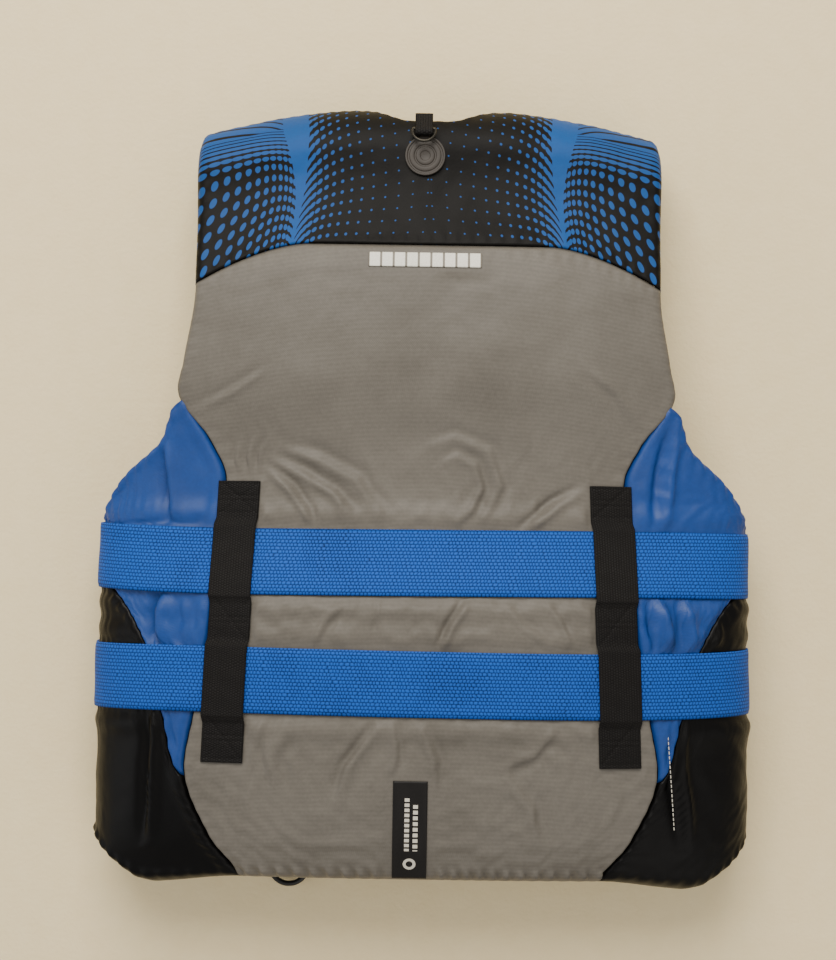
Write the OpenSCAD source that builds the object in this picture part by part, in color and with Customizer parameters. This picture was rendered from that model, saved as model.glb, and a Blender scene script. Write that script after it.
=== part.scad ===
// Closed two-belt foam life jacket, lying on its front with the back up.
// X runs across the jacket, +Y points to the neck and +Z out of the back.
// The wearer's left side is at -X. Lengths are in millimetres.

/* [Jacket] */
// Length from the lowest hem corner to the top of the shoulders
body_l = 614; // [520:1:737]
// Width across the sides
body_w = 512; // [427:1:600]
// Height of the back above the surface it lies on
body_t = 115; // [98:1:138]
// Drop of the shoulder line from the neck to the armhole
shoulder_drop = 20; // [8:1:30]
// Half the width of the neck opening
neck_half = 60; // [48:1:70]
// Half the width across the shoulders
shoulder_half = 173; // [150:1:200]

/* [Foam and cloth] */
// Thickness of the foam in the back and the front
foam_t = 31; // [20:1:34]
// Thickness of the foam in the sides
side_foam_t = 22; // [14:1:28]
// Thickness of the foam that pads the shoulders
strap_foam_t = 12; // [8:1:16]
// Thickness of the outer cloth and the lining
cloth_t = 1.2; // [0.8:0.1:1.6]
// Gap between cloth and foam
cloth_gap = 1.4; // [1.0:0.1:2.0]

/* [Belts] */
// Width of the belt webbing
belt_w = 50; // [38:1:60]
// Thickness of the belt webbing
belt_t = 1.6; // [1.2:0.1:2.0]
// Middle of the upper belt, from the middle of the jacket
upper_belt_y = -47; // [-60:1:-35]
// Distance between the middles of the two belts
belt_pitch = 91; // [84:1:100]
// Width of the belt keepers
keeper_w = 32; // [25:1:38]
// Thickness of the keeper webbing
keeper_t = 1.4; // [1.0:0.1:1.6]
// Gap between the webbing and the cloth under it
lay_gap = 0.8; // [0.6:0.1:1.0]

/* [Buckles] */
// Overall thickness of a buckle
buckle_t = 11.6; // [10:0.1:12]
// Wall of a buckle beside the webbing
buckle_wall = 6; // [4:0.5:8]
// Clearance of the plug and latches in the socket
slide_gap = 0.4; // [0.3:0.05:0.6]
// How far the plug reaches into the socket
plug_reach = 27; // [24:0.5:30]

/* [Zip] */
// Width of one zip tape
zip_tape_w = 15; // [12:0.5:18]
// Pitch of the zip teeth
tooth_pitch = 5.2; // [4:0.1:7]
// Height of the zip above the surface the jacket lies on
zip_z = 20; // [19:0.5:24]

/* [Rings and trims] */
// Wire diameter of the neck ring
ring_wire = 2.4; // [2:0.1:3]
// Inside width of the neck ring
ring_inside = 14.8; // [14.6:0.1:18]
// Width of the neck loop webbing
neck_loop_w = 13.4; // [10:0.1:14]
// Wire diameter of the lanyard ring
lanyard_wire = 4.4; // [3.6:0.1:5]
// Inside width of the lanyard ring
lanyard_inside = 26; // [25.6:0.1:30]
// Width of the lanyard loop webbing
lanyard_loop_w = 25; // [20:0.5:25]
// Radial clearance of a ring's bar in its loop
bar_gap = 0.08; // [0.05:0.01:0.1]
// Diameter of the round badge
badge_d = 31; // [26:1:36]
// Width of the hem label
label_w = 26; // [20:1:32]
// Length of the hem label
label_l = 76; // [60:1:90]

/* [Hidden] */

hl = body_l / 2;
hw = body_w / 2;
back_p = 2.5;              // roundness of the back's cross-section
front_p = 6;               // roundness of the front's, which lies flat
front_flat = 1.01;         // makes the middle of the front truly flat
waist_z = 7.5;             // front cloth where the belts press into it
buckle_z = 0.8;            // lowest face of the buckles
buckle_mid = buckle_z + buckle_t / 2;
fold_r = 37.5;             // radius of the fold over the shoulders
fold_z = fold_r;
lower_belt_y = upper_belt_y - belt_pitch;
keeper_top_x = 141 / 256 * hw; // middle of a back keeper at its upper end
keeper_low_x = 150 / 256 * hw; // and at its lower end
keeper_end = 17;           // sewn length past the belts at a keeper's ends
seam_gap = 2.4;            // between the edges of neighbouring panels
zip_half = 4;              // half the width of the closed zip chain
zip_top = 0.38 * hl;       // upper end of the zip
zip_low = -0.915 * hl;     // lower end of the zip

// ---------- curves ----------
function mix(a, b, f) = a + (b - a) * f;
function clamp01(f) = min(1, max(0, f));
function ease(f) = let (c = clamp01(f)) c * c * (3 - 2 * c);
function slot_of(k, y, i = 0) = i >= len(k) - 2 || y < k[i + 1][0] ? i : slot_of(k, y, i + 1);
// A smooth curve through [place, value] knots, level beyond the first and the last.
function curve(k, y) = let (
        i = slot_of(k, y),
        n = len(k) - 1,
        a = k[i], b = k[i + 1],
        h = b[0] - a[0],
        f = clamp01((y - a[0]) / h),
        ma = i == 0 ? 0 : (b[1] - k[i - 1][1]) / (b[0] - k[i - 1][0]) * h,
        mb = i + 1 == n ? 0 : (k[i + 2][1] - a[1]) / (k[i + 2][0] - a[0]) * h)
    (2 * f * f * f - 3 * f * f + 1) * a[1] + (f * f * f - 2 * f * f + f) * ma
    + (3 * f * f - 2 * f * f * f) * b[1] + (f * f * f - f * f) * mb;

// Height of the back along its middle, as a share of body_t, against y / hl
TOP = [[-1, 0.78], [-0.93, 0.88], [-0.84, 0.96], [-0.65, 1], [-0.33, 1], [-0.23, 0.97],
    [-0.07, 0.85], [0.1, 0.83], [0.33, 0.9], [0.58, 0.86], [0.75, 0.76], [0.88, 0.66]];
// Half-width that the cross-section closes at, as a share of hw
WIDE = [[-0.9, 1], [-0.1, 0.985], [0.1, 0.985], [0.33, 1.02], [0.65, 1.18], [0.88, 1.65]];
// Seam between the back shell and the side panels, and the armhole edge above it
BACK_SEAM = [[-0.945, 139 / 256], [-0.84, 161 / 256], [-0.69, 181 / 256], [-0.54, 175 / 256],
    [-0.34, 163 / 256], [-0.13, 157 / 256], [0.055, 154 / 256], [0.14, 166 / 256],
    [0.253, 186 / 256], [0.34, 182 / 256], [0.53, 173 / 256]];
// Lower edge of the side panels against the way round the side, from back seam to front seam
SIDE_LOW = [[0, -0.69], [0.063, -0.55], [0.14, -0.37], [0.25, -0.25], [0.5, -0.16],
    [0.66, -0.26], [0.82, -0.42], [1, -0.65]];
// Upper edge of the side panels, which is the armhole
SIDE_TOP = [[0, 0.253], [0.12, 0.14], [0.26, 0.06], [0.38, -0.02], [0.5, -0.09],
    [0.68, -0.06], [0.85, 0.03], [1, 0.08]];
// Hem of the corner panels
CORNER_HEM = [[0, -0.945], [0.14, -0.965], [0.2, -0.968], [0.27, -0.935], [0.36, -0.888],
    [0.45, -0.865], [0.6, -0.88], [0.75, -0.915], [1, -0.935]];

function top_z(y) = body_t * curve(TOP, y / hl);
function mid_z(y) = mix(0.435 * body_t, fold_z, ease((y / hl - 0.3) / 0.55));
function wide(y) = hw * curve(WIDE, y / hl);
function back_seam(y) = hw * curve(BACK_SEAM, y / hl);
function front_seam(y) = hw * mix(0.69, 0.58, ease((y / hl + 0.1) / 0.45));
function shoulder_y(x) = hl - shoulder_drop
    * pow(max(0, (abs(x) - neck_half) / (shoulder_half - neck_half)), 1.5);
function fold_y(x) = shoulder_y(x) - fold_r;
function neckline(y) = mix(zip_half + 8, neck_half + 2, ease((y - zip_top) / (hl - zip_top)));
// 1 behind the belts and 0 well away from them
function in_waist(y) = ease((y - lower_belt_y + belt_w / 2 + 52) / 40)
    * ease((upper_belt_y + belt_w / 2 + 52 - y) / 40);

// Outer face of the front: flat on the surface, pressed in by the belts and by the zip
function front_z(x, y) = let (w = in_waist(y), from = mix(16, 82, w))
    mix(zip_z, mix(0, waist_z, w), ease((abs(x) - from) / 26));

// ---------- places on the jacket ----------
// t goes round a cross-section: 0 at the middle of the back, 90 at the side, 180 at the zip.
// d is the depth below the outer face.
function round_x(t) = pow(max(0, sin(t)), 2 / (t <= 90 ? back_p : front_p));
function round_z(t) = t <= 90 ? pow(cos(t), 2 / back_p)
    : min(1, front_flat * pow(-cos(t), 2 / front_p));
function back_t(x, y) = asin(min(1, pow(abs(x) / wide(y), back_p / 2)));
function front_t(x, y) = 180 - asin(min(1, pow(abs(x) / wide(y), front_p / 2)));
function around(t, y, d, flat = false) = let (
        w = wide(y), m = mid_z(y), x = (w - d) * round_x(t),
        low = flat ? mix(0, waist_z, in_waist(y)) : front_z(w * round_x(t), y))
    [x, y, t <= 90 ? m + (top_z(y) - m - d) * round_z(t) : m - (m - low - d) * round_z(t)];

// The back, over the shoulder and down the front: w is y on the back and keeps growing
function over(x, w, d) = let (
        yc = fold_y(x), wy = min(w, yc), k = 1 - d / wide(wy),
        c = pow(1 - pow(abs(x) / wide(wy), back_p), 1 / back_p),
        m = mid_z(wy),
        back = mix(m + (top_z(wy) - m - d) * c, fold_z + fold_r - d, ease((wy - yc + 95) / 95)),
        turn = (w - yc) / fold_r * 180 / PI)
    w <= yc ? [x * k, w, back]
    : turn <= 180 ? [x * k, yc + (fold_r - d) * sin(turn), fold_z + (fold_r - d) * cos(turn)]
    : [x * k, yc - (w - yc - PI * fold_r), d];
function fold_w(x, share) = fold_y(x) + PI * fold_r * share;

// ---------- closed sheets ----------
// A closed solid between two faces of a grid; place(u, v, d) gives the points.
module sheet(place, d_out, d_in, nu, nv) {
    row = nu + 1;
    count = row * (nv + 1);
    outer = [for (j = [0:nv]) for (i = [0:nu]) place(i / nu, j / nv, d_out)];
    inner = [for (j = [0:nv]) for (i = [0:nu]) place(i / nu, j / nv, d_in)];
    skin = [for (j = [0:nv - 1]) for (i = [0:nu - 1]) let (a = j * row + i)
        each [[a, a + row, a + 1], [a + 1, a + row, a + row + 1]]];
    lining = [for (f = skin) [f[2] + count, f[1] + count, f[0] + count]];
    rim = concat([for (i = [0:nu]) i],
        [for (j = [1:nv]) j * row + nu],
        [for (i = [1:nu]) nv * row + nu - i],
        [for (j = [1:nv - 1]) (nv - j) * row]);
    m = len(rim);
    edge = [for (i = [0:m - 1]) let (a = rim[i], b = rim[(i + 1) % m])
        each [[a, b, b + count], [a, b + count, a + count]]];
    polyhedron(points = concat(outer, inner), faces = concat(skin, lining, edge), convexity = 8);
}
// Rows of a grid, so that neighbouring faces follow the same curve closely
function grid_rows(length, pitch) = ceil(length / pitch);
// The same sheet for the left or the right side: side is -1 or 1. The grid is drawn at +X.
module on_side(side) mirror([side < 0 ? 1 : 0, 0, 0]) children();

// ---------- places of each panel ----------
function shell_y(u, v) = mix(-0.945 * hl, yoke_seam(u * shoulder_half), v);
function yoke_seam(x) = hl * (0.637 - 0.107 * pow(max(0, (abs(x) / shoulder_half - 0.52) / 0.48), 1.6));
function shell_xy(u, v) = let (y = shell_y(2 * u - 1, v)) [(2 * u - 1) * back_seam(y), y];
function neck_w(x) = fold_w(x, 0.28 + 0.22 * ease((abs(x) - 0.25 * neck_half) / (0.75 * neck_half)));
function yoke_xw(u, v) = let (q = shell_xy(u, 1), x = mix(q[0], (2 * u - 1) * shoulder_half, v))
    [x, mix(q[1] + seam_gap / 2, neck_w(x), v)];
function side_ty(u, v, low, high, trim) = let (
        y = mix(hl * curve(low, u), hl * curve(high, u) - trim, v),
        t0 = back_t(back_seam(y) + seam_gap, y), t1 = front_t(front_seam(y) + seam_gap, y))
    [mix(t0, t1, u), y];

// ---------- cloth ----------
module back_shell() {
    place = function(u, v, d) let (q = shell_xy(u, v)) over(q[0], q[1], d);
    color("#8a8477") sheet(place, 0, cloth_t, 20, 22);
}
module back_yoke() {
    place = function(u, v, d) let (q = yoke_xw(u, v)) over(q[0], q[1], d);
    color("#2f4f78") sheet(place, 0, cloth_t, 20, 10);
}
module side_panel(side) {
    place = function(u, v, d) let (q = side_ty(u, v, SIDE_LOW, SIDE_TOP, 0))
        around(q[0], q[1], d);
    color("#2358a6") on_side(side) sheet(place, 0, cloth_t, 18, 12);
}
module corner_panel(side) {
    place = function(u, v, d) let (q = side_ty(u, v, CORNER_HEM, SIDE_LOW, seam_gap / 2))
        around(q[0], q[1], d);
    color("#1f1c1a") on_side(side) sheet(place, 0, cloth_t, 18, 12);
}
module front_shell(side) {
    place = function(u, v, d) let (
            y = mix(-0.935 * hl, 0.49 * hl, v),
            x = mix(neckline(y), front_seam(y), pow(u, 1.4)))
        around(front_t(x, y), y, d);
    color("#8a8477") on_side(side) sheet(place, 0, cloth_t, 16, grid_rows(1.425 * hl, 18.3));
}
// From the top of the shoulder down to the chest
module strap_cover(side) {
    place = function(u, v, d) let (
            yf = mix(hl, 0.5 * hl, v),
            x = mix(neckline(yf), mix(shoulder_half, front_seam(0.49 * hl), ease(v * 1.4 - 0.4)), u),
            w = mix(fold_w(x, 0.505), fold_w(x, 1) + fold_y(x) - 0.5 * hl, v))
        over(x, w, d);
    color("#2f4f78") on_side(side) sheet(place, 0, cloth_t, 6, 12);
}
lining_out = cloth_t + 2 * cloth_gap + foam_t;
module back_lining() {
    place = function(u, v, d) let (
            y = mix(-0.93 * hl, 0.72 * hl, v),
            x = (2 * u - 1) * min(back_seam(y) + 8 * (y < 0 ? 1 : 0), 0.72 * hw))
        over(x, y, d);
    color("#2a2a2c") sheet(place, lining_out, lining_out + cloth_t, 12, 14);
}
module front_lining(side) {
    place = function(u, v, d) let (
            y = mix(-0.92 * hl, 0.4 * hl, v),
            x = mix(neckline(y) + 4, front_seam(y) - 4, u))
        [x, y, front_slack + lining_out + d];
    color("#2a2a2c") on_side(side) sheet(place, 0, cloth_t, 2, 8);
}

// ---------- foam ----------
foam_out = cloth_t + cloth_gap;
foam_in = foam_out + foam_t;
side_in = foam_out + side_foam_t;
module back_foam_upper() {
    place = function(u, v, d) let (
            y = mix(-0.02 * hl, 0.78 * hl, v),
            x = (2 * u - 1) * (min(back_seam(y), shoulder_half) - 5))
        over(x, y, d > foam_out ? foam_out + foam_t * mix(1, 0.62, ease((y / hl - 0.5) / 0.28)) : d);
    color("#d9c35a") sheet(place, foam_out, foam_in, 12, 10);
}
module back_foam_lower() {
    place = function(u, v, d) let (
            y = mix(-0.915 * hl, -0.05 * hl, v),
            x = (2 * u - 1) * (back_seam(y) - 3))
        over(x, y, d);
    color("#d9c35a") sheet(place, foam_out, foam_in, 12, 12);
}
module side_foam(side) {
    place = function(u, v, d) let (
            y = mix(-0.83 * hl, -0.15 * hl, v),
            t0 = back_t(0.775 * hw, y), t1 = front_t(0.78 * hw, y))
        around(mix(t0, t1, u), y, d);
    color("#d9c35a") on_side(side) sheet(place, foam_out, side_in, 12, 8);
}
front_slack = 1.4;         // more room for the foam in the folded front
fold_room = 9;             // and beside the folds at the zip
// The front foam is two slabs a side: one behind the belts and one over the chest
module front_slab(side, y0, y1) {
    place = function(u, v, d) let (
            y = mix(y0, y1, v),
            x = mix(neckline(y) + fold_room, front_seam(y) - 5, pow(u, 1.4)),
            q = around(front_t(x - fold_room, y), y, foam_out + front_slack))
        [x, y, d > foam_out ? front_slack + foam_in : q[2]];
    color("#d9c35a") on_side(side) sheet(place, foam_out, foam_in, 12, max(18, grid_rows(y1 - y0, 15.7)));
}
module front_foam(side) front_slab(side, -0.9 * hl, 0.02 * hl);
module chest_foam(side) front_slab(side, 0.04 * hl, 0.42 * hl);
module strap_foam(side) {
    place = function(u, v, d) let (
            x = mix(neck_half + 12, shoulder_half - 8, u),
            w = mix(0.8 * hl, fold_w(x, 1) + fold_y(x) - 0.57 * hl, v))
        over(x, w, d);
    color("#d9c35a") on_side(side) sheet(place, foam_out, foam_out + strap_foam_t, 5, 14);
}

// ---------- belts and keepers ----------
plug_bar_x = -36.5;        // middle of the plug's webbing bar
socket_bar_x = 37;         // middle of the socket's webbing bar
bar_r = 1.5;               // radius of both bars
slot_half = 6.2;           // half the length of the slot round a bar
web_r = bar_r + 0.25;      // inside of the webbing round a bar
// Depth of the belt's inner and outer face
belt_in = -lay_gap;
belt_out = -lay_gap - belt_t;
// A belt from one place round the jacket to another: t is negative at -X
function belt_place(t, y, d) = around(abs(t), y, d, true);
module belt_band(y_mid, t_from, t_to, n) {
    place = function(u, v, d) let (
            y = mix(y_mid - belt_w / 2, y_mid + belt_w / 2, v),
            t = mix(t_from(y), t_to(y), u),
            q = belt_place(t, y, d))
        [t < 0 ? -q[0] : q[0], y, q[2]];
    color("#2f68b4") sheet(place, belt_out, belt_in, n, 4);
}
loose_x = 112 / 256 * hw;  // where the plug's own length of belt begins
module belt(y_mid) belt_band(y_mid,
    function(y) -front_t(loose_x + 0.3, y),
    function(y) front_t(socket_bar_x + 16, y), 52);
// Webbing that comes in level, goes round a buckle's bar and comes out again, seen along Y.
// dir is -1 for the plug and 1 for the socket; far is where the first length starts and
// back where the second one ends, both measured along dir from the bar.
module belt_turn(y_mid, bar_x, dir, far, back) {
    mid = web_r + belt_t / 2;
    path = concat(
        [[far, belt_level - buckle_mid], [13, belt_level - buckle_mid], [7, mid]],
        [for (a = [90:22.5:270]) [mid * cos(a), mid * sin(a)]],
        [[7, -mid], [13, tail_level - buckle_mid], [back, tail_level - buckle_mid]]);
    n = len(path);
    unit = function(v) v / norm(v);
    side = [for (i = [0:n - 1]) let (
            u = i > 0 ? unit(path[i] - path[i - 1]) : unit(path[1] - path[0]),
            v = i < n - 1 ? unit(path[i + 1] - path[i]) : u,
            w = unit(u + v))
        [-w[1], w[0]] * belt_t / 2 / (w * u)];
    color("#2f68b4") translate([bar_x, y_mid, buckle_mid]) mirror([dir < 0 ? 1 : 0, 0, 0])
        rotate([90, 0, 0]) linear_extrude(belt_w, center = true)
            polygon(concat([for (i = [0:n - 1]) path[i] + side[i]],
                [for (i = [n - 1:-1:0]) path[i] - side[i]]));
}
belt_level = waist_z - lay_gap - belt_t / 2;
tail_level = belt_level - belt_t - 0.6;
module belt_end(y_mid) belt_turn(y_mid, plug_bar_x, -1, loose_x + plug_bar_x, 27);
// Free end of the belt, folded back under it from the socket
tail_keeper_x = 130 / 256 * hw;
tail_l = tail_keeper_x - socket_bar_x + 11;
module belt_tail(y_mid) belt_turn(y_mid, socket_bar_x, 1, 15.7, tail_l);
elastic_t = 0.4;
elastic_gap = 0.12;
module tail_keeper(y_mid) {
    in_h = 2 * belt_t + 0.6 + 2 * elastic_gap;
    color("#1b1a1a") translate([tail_keeper_x, y_mid, (belt_level + tail_level) / 2]) rotate([90, 0, 90])
        linear_extrude(18, center = true) difference() {
            square([belt_w + 1.2 + 2 * elastic_t, in_h + 2 * elastic_t], center = true);
            square([belt_w + 1.2, in_h], center = true);
        }
}
// Lift of a keeper over the belts: small where it is sewn down
function over_belt(y, b) = ease((y - b + belt_w / 2 + 8) / 7) * ease((b + belt_w / 2 + 8 - y) / 7);
function keeper_lift(y) = lay_gap
    + (belt_t + lay_gap) * max(over_belt(y, upper_belt_y), over_belt(y, lower_belt_y));
module back_keeper(side) {
    y0 = lower_belt_y - belt_w / 2 - keeper_end - 20;
    y1 = upper_belt_y + belt_w / 2 + keeper_end + 18;
    place = function(u, v, d) let (
            y = mix(y0, y1, v),
            x = mix(keeper_low_x, keeper_top_x, v) + (u - 0.5) * keeper_w)
        over(x, y, d - keeper_lift(y));
    color("#24211e") on_side(side) sheet(place, -keeper_t, 0, 3, 40);
}
front_keeper_x = 170 / 256 * hw;
module front_keeper(side) {
    y0 = lower_belt_y - belt_w / 2 - 14;
    y1 = upper_belt_y + belt_w / 2 + 14;
    z = belt_level - belt_t / 2 - 0.5 - keeper_t;
    color("#24211e") on_side(side)
        translate([front_keeper_x - keeper_w / 2, y0, z]) cube([keeper_w, y1 - y0, keeper_t]);
}

// ---------- buckles: the plug is at -X and slides out of the socket ----------
socket_mouth = -8;
socket_end = 46;
buckle_w = belt_w + 2 * buckle_wall;
tongue_t = 5;              // thickness of the latches and the guide tongue
cavity_w = buckle_w - 9;
// A flat block with round corners, seen from above, centred in Y and Z
module pad(x0, x1, w, t, r) {
    l = x1 - x0;
    pts = [for (c = [[1, 1, 0], [-1, 1, 90], [-1, -1, 180], [1, -1, 270]]) for (a = [0:22.5:90])
        [c[0] * (l / 2 - r) + r * cos(c[2] + a), c[1] * (w / 2 - r) + r * sin(c[2] + a)]];
    translate([(x0 + x1) / 2, 0, -t / 2]) linear_extrude(t) polygon(pts);
}
// The slot round a webbing bar and the way in from the buckle's end
module webbing_way(bar_x, end_x) {
    translate([bar_x - slot_half, -belt_w / 2 - 0.6, -buckle_t])
        cube([2 * slot_half, belt_w + 1.2, 2 * buckle_t]);
    translate([min(bar_x, end_x), -belt_w / 2 - 0.6, -web_r - belt_t - 0.35])
        cube([abs(end_x - bar_x), belt_w + 1.2, 2 * (web_r + belt_t + 0.35)]);
}
module webbing_bar(bar_x) translate([bar_x, 0, 0]) rotate([90, 0, 0])
    cylinder(h = belt_w + 5, r = bar_r, center = true, $fn = 48);
module socket(y_mid) color("#191919") translate([0, y_mid, buckle_mid]) {
    difference() {
        pad(socket_mouth, socket_end, buckle_w, buckle_t, 5);
        // cavity, open at the mouth
        translate([socket_mouth - 1, -cavity_w / 2, -tongue_t / 2 - slide_gap])
            cube([plug_reach + 4, cavity_w, tongue_t + 2 * slide_gap]);
        // windows in both sides, where the latches are pressed
        for (s = [-1, 1])
            translate([socket_mouth + 13, s * (buckle_w / 2 - 4) - 6, -tongue_t / 2 - slide_gap])
                cube([12, 12, tongue_t + 2 * slide_gap]);
        webbing_way(socket_bar_x, socket_end + 1);
    }
    webbing_bar(socket_bar_x);
}
module plug(y_mid) color("#191919") translate([0, y_mid, buckle_mid]) {
    difference() {
        pad(-46, socket_mouth - slide_gap, buckle_w, buckle_t - 1, 4);
        webbing_way(plug_bar_x, -47);
        // pockets that the latches turn in
        for (s = [-1, 1]) translate([latch_x, s * latch_y, -tongue_t / 2 - slide_gap])
            cylinder(h = tongue_t + 2 * slide_gap, r = latch_r + bar_gap, $fn = 48);
        for (s = [-1, 1]) translate([latch_x, s * latch_y - latch_r - 1.2, -tongue_t / 2 - slide_gap])
            cube([20, 2 * latch_r + 2.4, tongue_t + 2 * slide_gap]);
    }
    webbing_bar(plug_bar_x);
    translate([socket_mouth - 2, -5, -tongue_t / 2]) cube([plug_reach - 1, 10, tongue_t]);
}
latch_x = -13;
latch_y = 17;
latch_r = 3;
module latch(y_mid, s) color("#191919") translate([0, y_mid, buckle_mid]) {
    tip = socket_mouth + plug_reach - 2;
    translate([latch_x, s * latch_y, -tongue_t / 2]) cylinder(h = tongue_t, r = latch_r, $fn = 48);
    side_y = cavity_w / 2 - slide_gap;
    outline = [[latch_x, latch_y - 2], [latch_x + 12, latch_y - 2], [tip - 2, side_y - 8],
        [tip, side_y - 5], [tip - 3, side_y - 1.5], [tip - 6, side_y], [tip - 14, side_y],
        [tip - 17, latch_y + 3], [latch_x, latch_y + 2]];
    translate([0, 0, -tongue_t / 2]) linear_extrude(tongue_t) polygon([for (p = outline) [p[0], s * p[1]]]);
}

// ---------- zip ----------
chain_z = zip_z - 1;        // middle of the zip, just outside the cloth it is sewn to
module zip_tape(side) color("#1c1c1e") on_side(side)
    translate([1.6, zip_low, chain_z - 0.35]) cube([zip_tape_w - 1.6, zip_top - zip_low, 0.7]);
module zip_teeth(side) color("#2a2a2c") {
    n = floor((zip_top - zip_low - 24) / tooth_pitch);
    shift = side > 0 ? 0 : tooth_pitch / 2;
    on_side(side) for (i = [0:n - 1])
        translate([-1.3, zip_low + 12 + shift + i * tooth_pitch, chain_z - 1.5])
            cube([zip_half + 0.6, tooth_pitch / 2 - 0.3, 3]);
}
zip_slider_y = zip_top - 13;
module zip_slider() color("#3a3a3c") translate([0, zip_slider_y, chain_z]) {
    l = 12;
    half = zip_half + 1.6;
    for (s = [-1, 1]) translate([-half, -l / 2, s > 0 ? 1.9 : -3.1]) cube([2 * half, l, 1.2]);
    for (s = [-1, 1]) for (k = [-1, 1])
        translate([s > 0 ? half - 1 : -half, -l / 2, k > 0 ? 0.7 : -3.1]) cube([1, l, 2.4]);
    // the post that parts the teeth, above the closed chain
    translate([-1.4, l / 2 - 4, -3.1]) cube([2.8, 4, 6.2]);
    // lug for the pull
    for (s = [-1, 1]) translate([s * 2.2 - 0.6, -1.6, -6.3]) cube([1.2, 3.2, 3.3]);
    translate([-2.4, 0, -5]) rotate([0, 90, 0]) cylinder(h = 4.8, r = 0.7, $fn = 32);
}
module zip_pull() color("#191919") translate([0, zip_slider_y, chain_z - 5]) difference() {
    union() {
        translate([-1.45, -3, -0.95]) cube([2.9, 4.4, 1.9]);
        translate([-4, -31, -0.95]) cube([8, 28.2, 1.9]);
    }
    translate([-5, 0, 0]) rotate([0, 90, 0]) cylinder(h = 10, r = 0.7 + bar_gap, $fn = 32);
    translate([0, -26, -2]) cylinder(h = 4, r = 1.8, $fn = 32);
}
module zip_box() color("#2a2a2c") translate([-zip_half - 2, zip_low + 0.4, chain_z - 2.2]) difference() {
    cube([2 * zip_half + 4, 10, 4.4]);
    for (x = [-1, zip_half + 3.6]) translate([x, -1, 1.65]) cube([3.6, 12, 1.1]);
}
module zip_stops() color("#2a2a2c") for (s = [-1, 1])
    translate([s * 4.9 - 1.4, zip_top - 6, chain_z - 1.5]) difference() {
        cube([2.8, 3.4, 3]);
        translate([-1, -1, 0.95]) cube([4.8, 5.4, 1.1]);
    }

// ---------- rings, loops and trims ----------
// A D ring: bar along X at the origin, bow towards -Y
module d_ring(inside, wire, depth) {
    r = wire / 2;
    half = inside / 2 + r;
    rotate([0, 90, 0]) cylinder(h = 2 * half, r = r, center = true, $fn = 32);
    for (s = [-1, 1]) translate([s * half, 0, 0]) sphere(r = r, $fn = 32);
    for (s = [-1, 1]) translate([s * half, 0, 0]) rotate([90, 0, 0])
        cylinder(h = depth - half, r = r, $fn = 32);
    translate([0, half - depth, 0]) rotate([0, 0, 180])
        rotate_extrude(angle = 180, $fn = 48) translate([half, 0]) circle(r = r, $fn = 24);
}
// Webbing folded round a bar: a flat loop, cut from the side, bar at the origin.
// It reaches below the bar by low and above it to high.
module web_loop(w, t, bar_r, low, high) rotate([90, 0, 90]) linear_extrude(w, center = true) {
    h = bar_r + bar_gap;
    arc = function(r) [for (a = [180:-15:0]) [-low + r * cos(a + 90), r * sin(a + 90)]];
    difference() {
        polygon(concat(arc(h + t), [[high, h + t], [high, -h - t]]));
        polygon(concat(arc(h), [[high - 3, h], [high - 3, -h]]));
    }
}
neck_ring_x = -5;
neck_ring_y = 0.935 * hl;
neck_slope = -30;
neck_ring_z = 78.6;
module at_neck_ring() translate([neck_ring_x, neck_ring_y, neck_ring_z]) rotate([neck_slope, 0, 0]) children();
module neck_d_ring() color("#4a4844") at_neck_ring() d_ring(ring_inside, ring_wire, ring_inside / 2 + 4.6);
module neck_loop() color("#1e1c1a") at_neck_ring() web_loop(neck_loop_w, 1.1, ring_wire / 2, 3, 12.5);
lanyard_x = -105;
lanyard_depth = lanyard_inside / 2 + 6;
lanyard_y = -0.935 * hl - 6.14;
lanyard_z = 7.2;
// moves the jacket so that the origin is under the middle of its length
seat_y = -(hl + lanyard_y - lanyard_depth - lanyard_wire / 2) / 2;
module lanyard_d_ring() color("#161616") translate([lanyard_x, lanyard_y, lanyard_z])
    d_ring(lanyard_inside, lanyard_wire, lanyard_depth);
module lanyard_loop() color("#1e1c1a") translate([lanyard_x, lanyard_y, lanyard_z])
    web_loop(lanyard_loop_w, 1.4, lanyard_wire / 2, 0.4, 15);

module hem_label() {
    y0 = -0.935 * hl;
    place = function(u, v, d) over(-7.6 + (u - 0.5) * label_w, mix(y0, y0 + label_l, v), d);
    color("#201d1b") sheet(place, -1.3, -0.6, 2, 8);
}
badge_y = 0.868 * hl;
badge_x = -3.8;
// slope of the cloth under the badge
badge_tilt = atan2(over(badge_x, badge_y + 14, 0)[2] - over(badge_x, badge_y - 14, 0)[2], 28);
module round_badge() color("#3d372f") translate(over(badge_x, badge_y, -2.4)) rotate([badge_tilt, 0, 0]) {
    difference() {
        cylinder(h = 1.8, r = badge_d / 2, $fn = 64);
        translate([0, 0, 1.2]) difference() {
            cylinder(h = 1, r = badge_d / 2 - 1.6, $fn = 64);
            translate([0, 0, -1]) cylinder(h = 3, r = badge_d / 2 - 3, $fn = 64);
        }
    }
}
module reflective_bar() {
    y0 = 0.6 * hl - 6;
    bar_x = -2.6;
    bar_l = 86;
    bar_w = 11;
    place = function(u, v, d) over(bar_x + (u - 0.5) * bar_l, y0 + bar_w * v, d);
    color("#d8d2bf") sheet(place, -0.9, -0.4, 10, 2);
}

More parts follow.
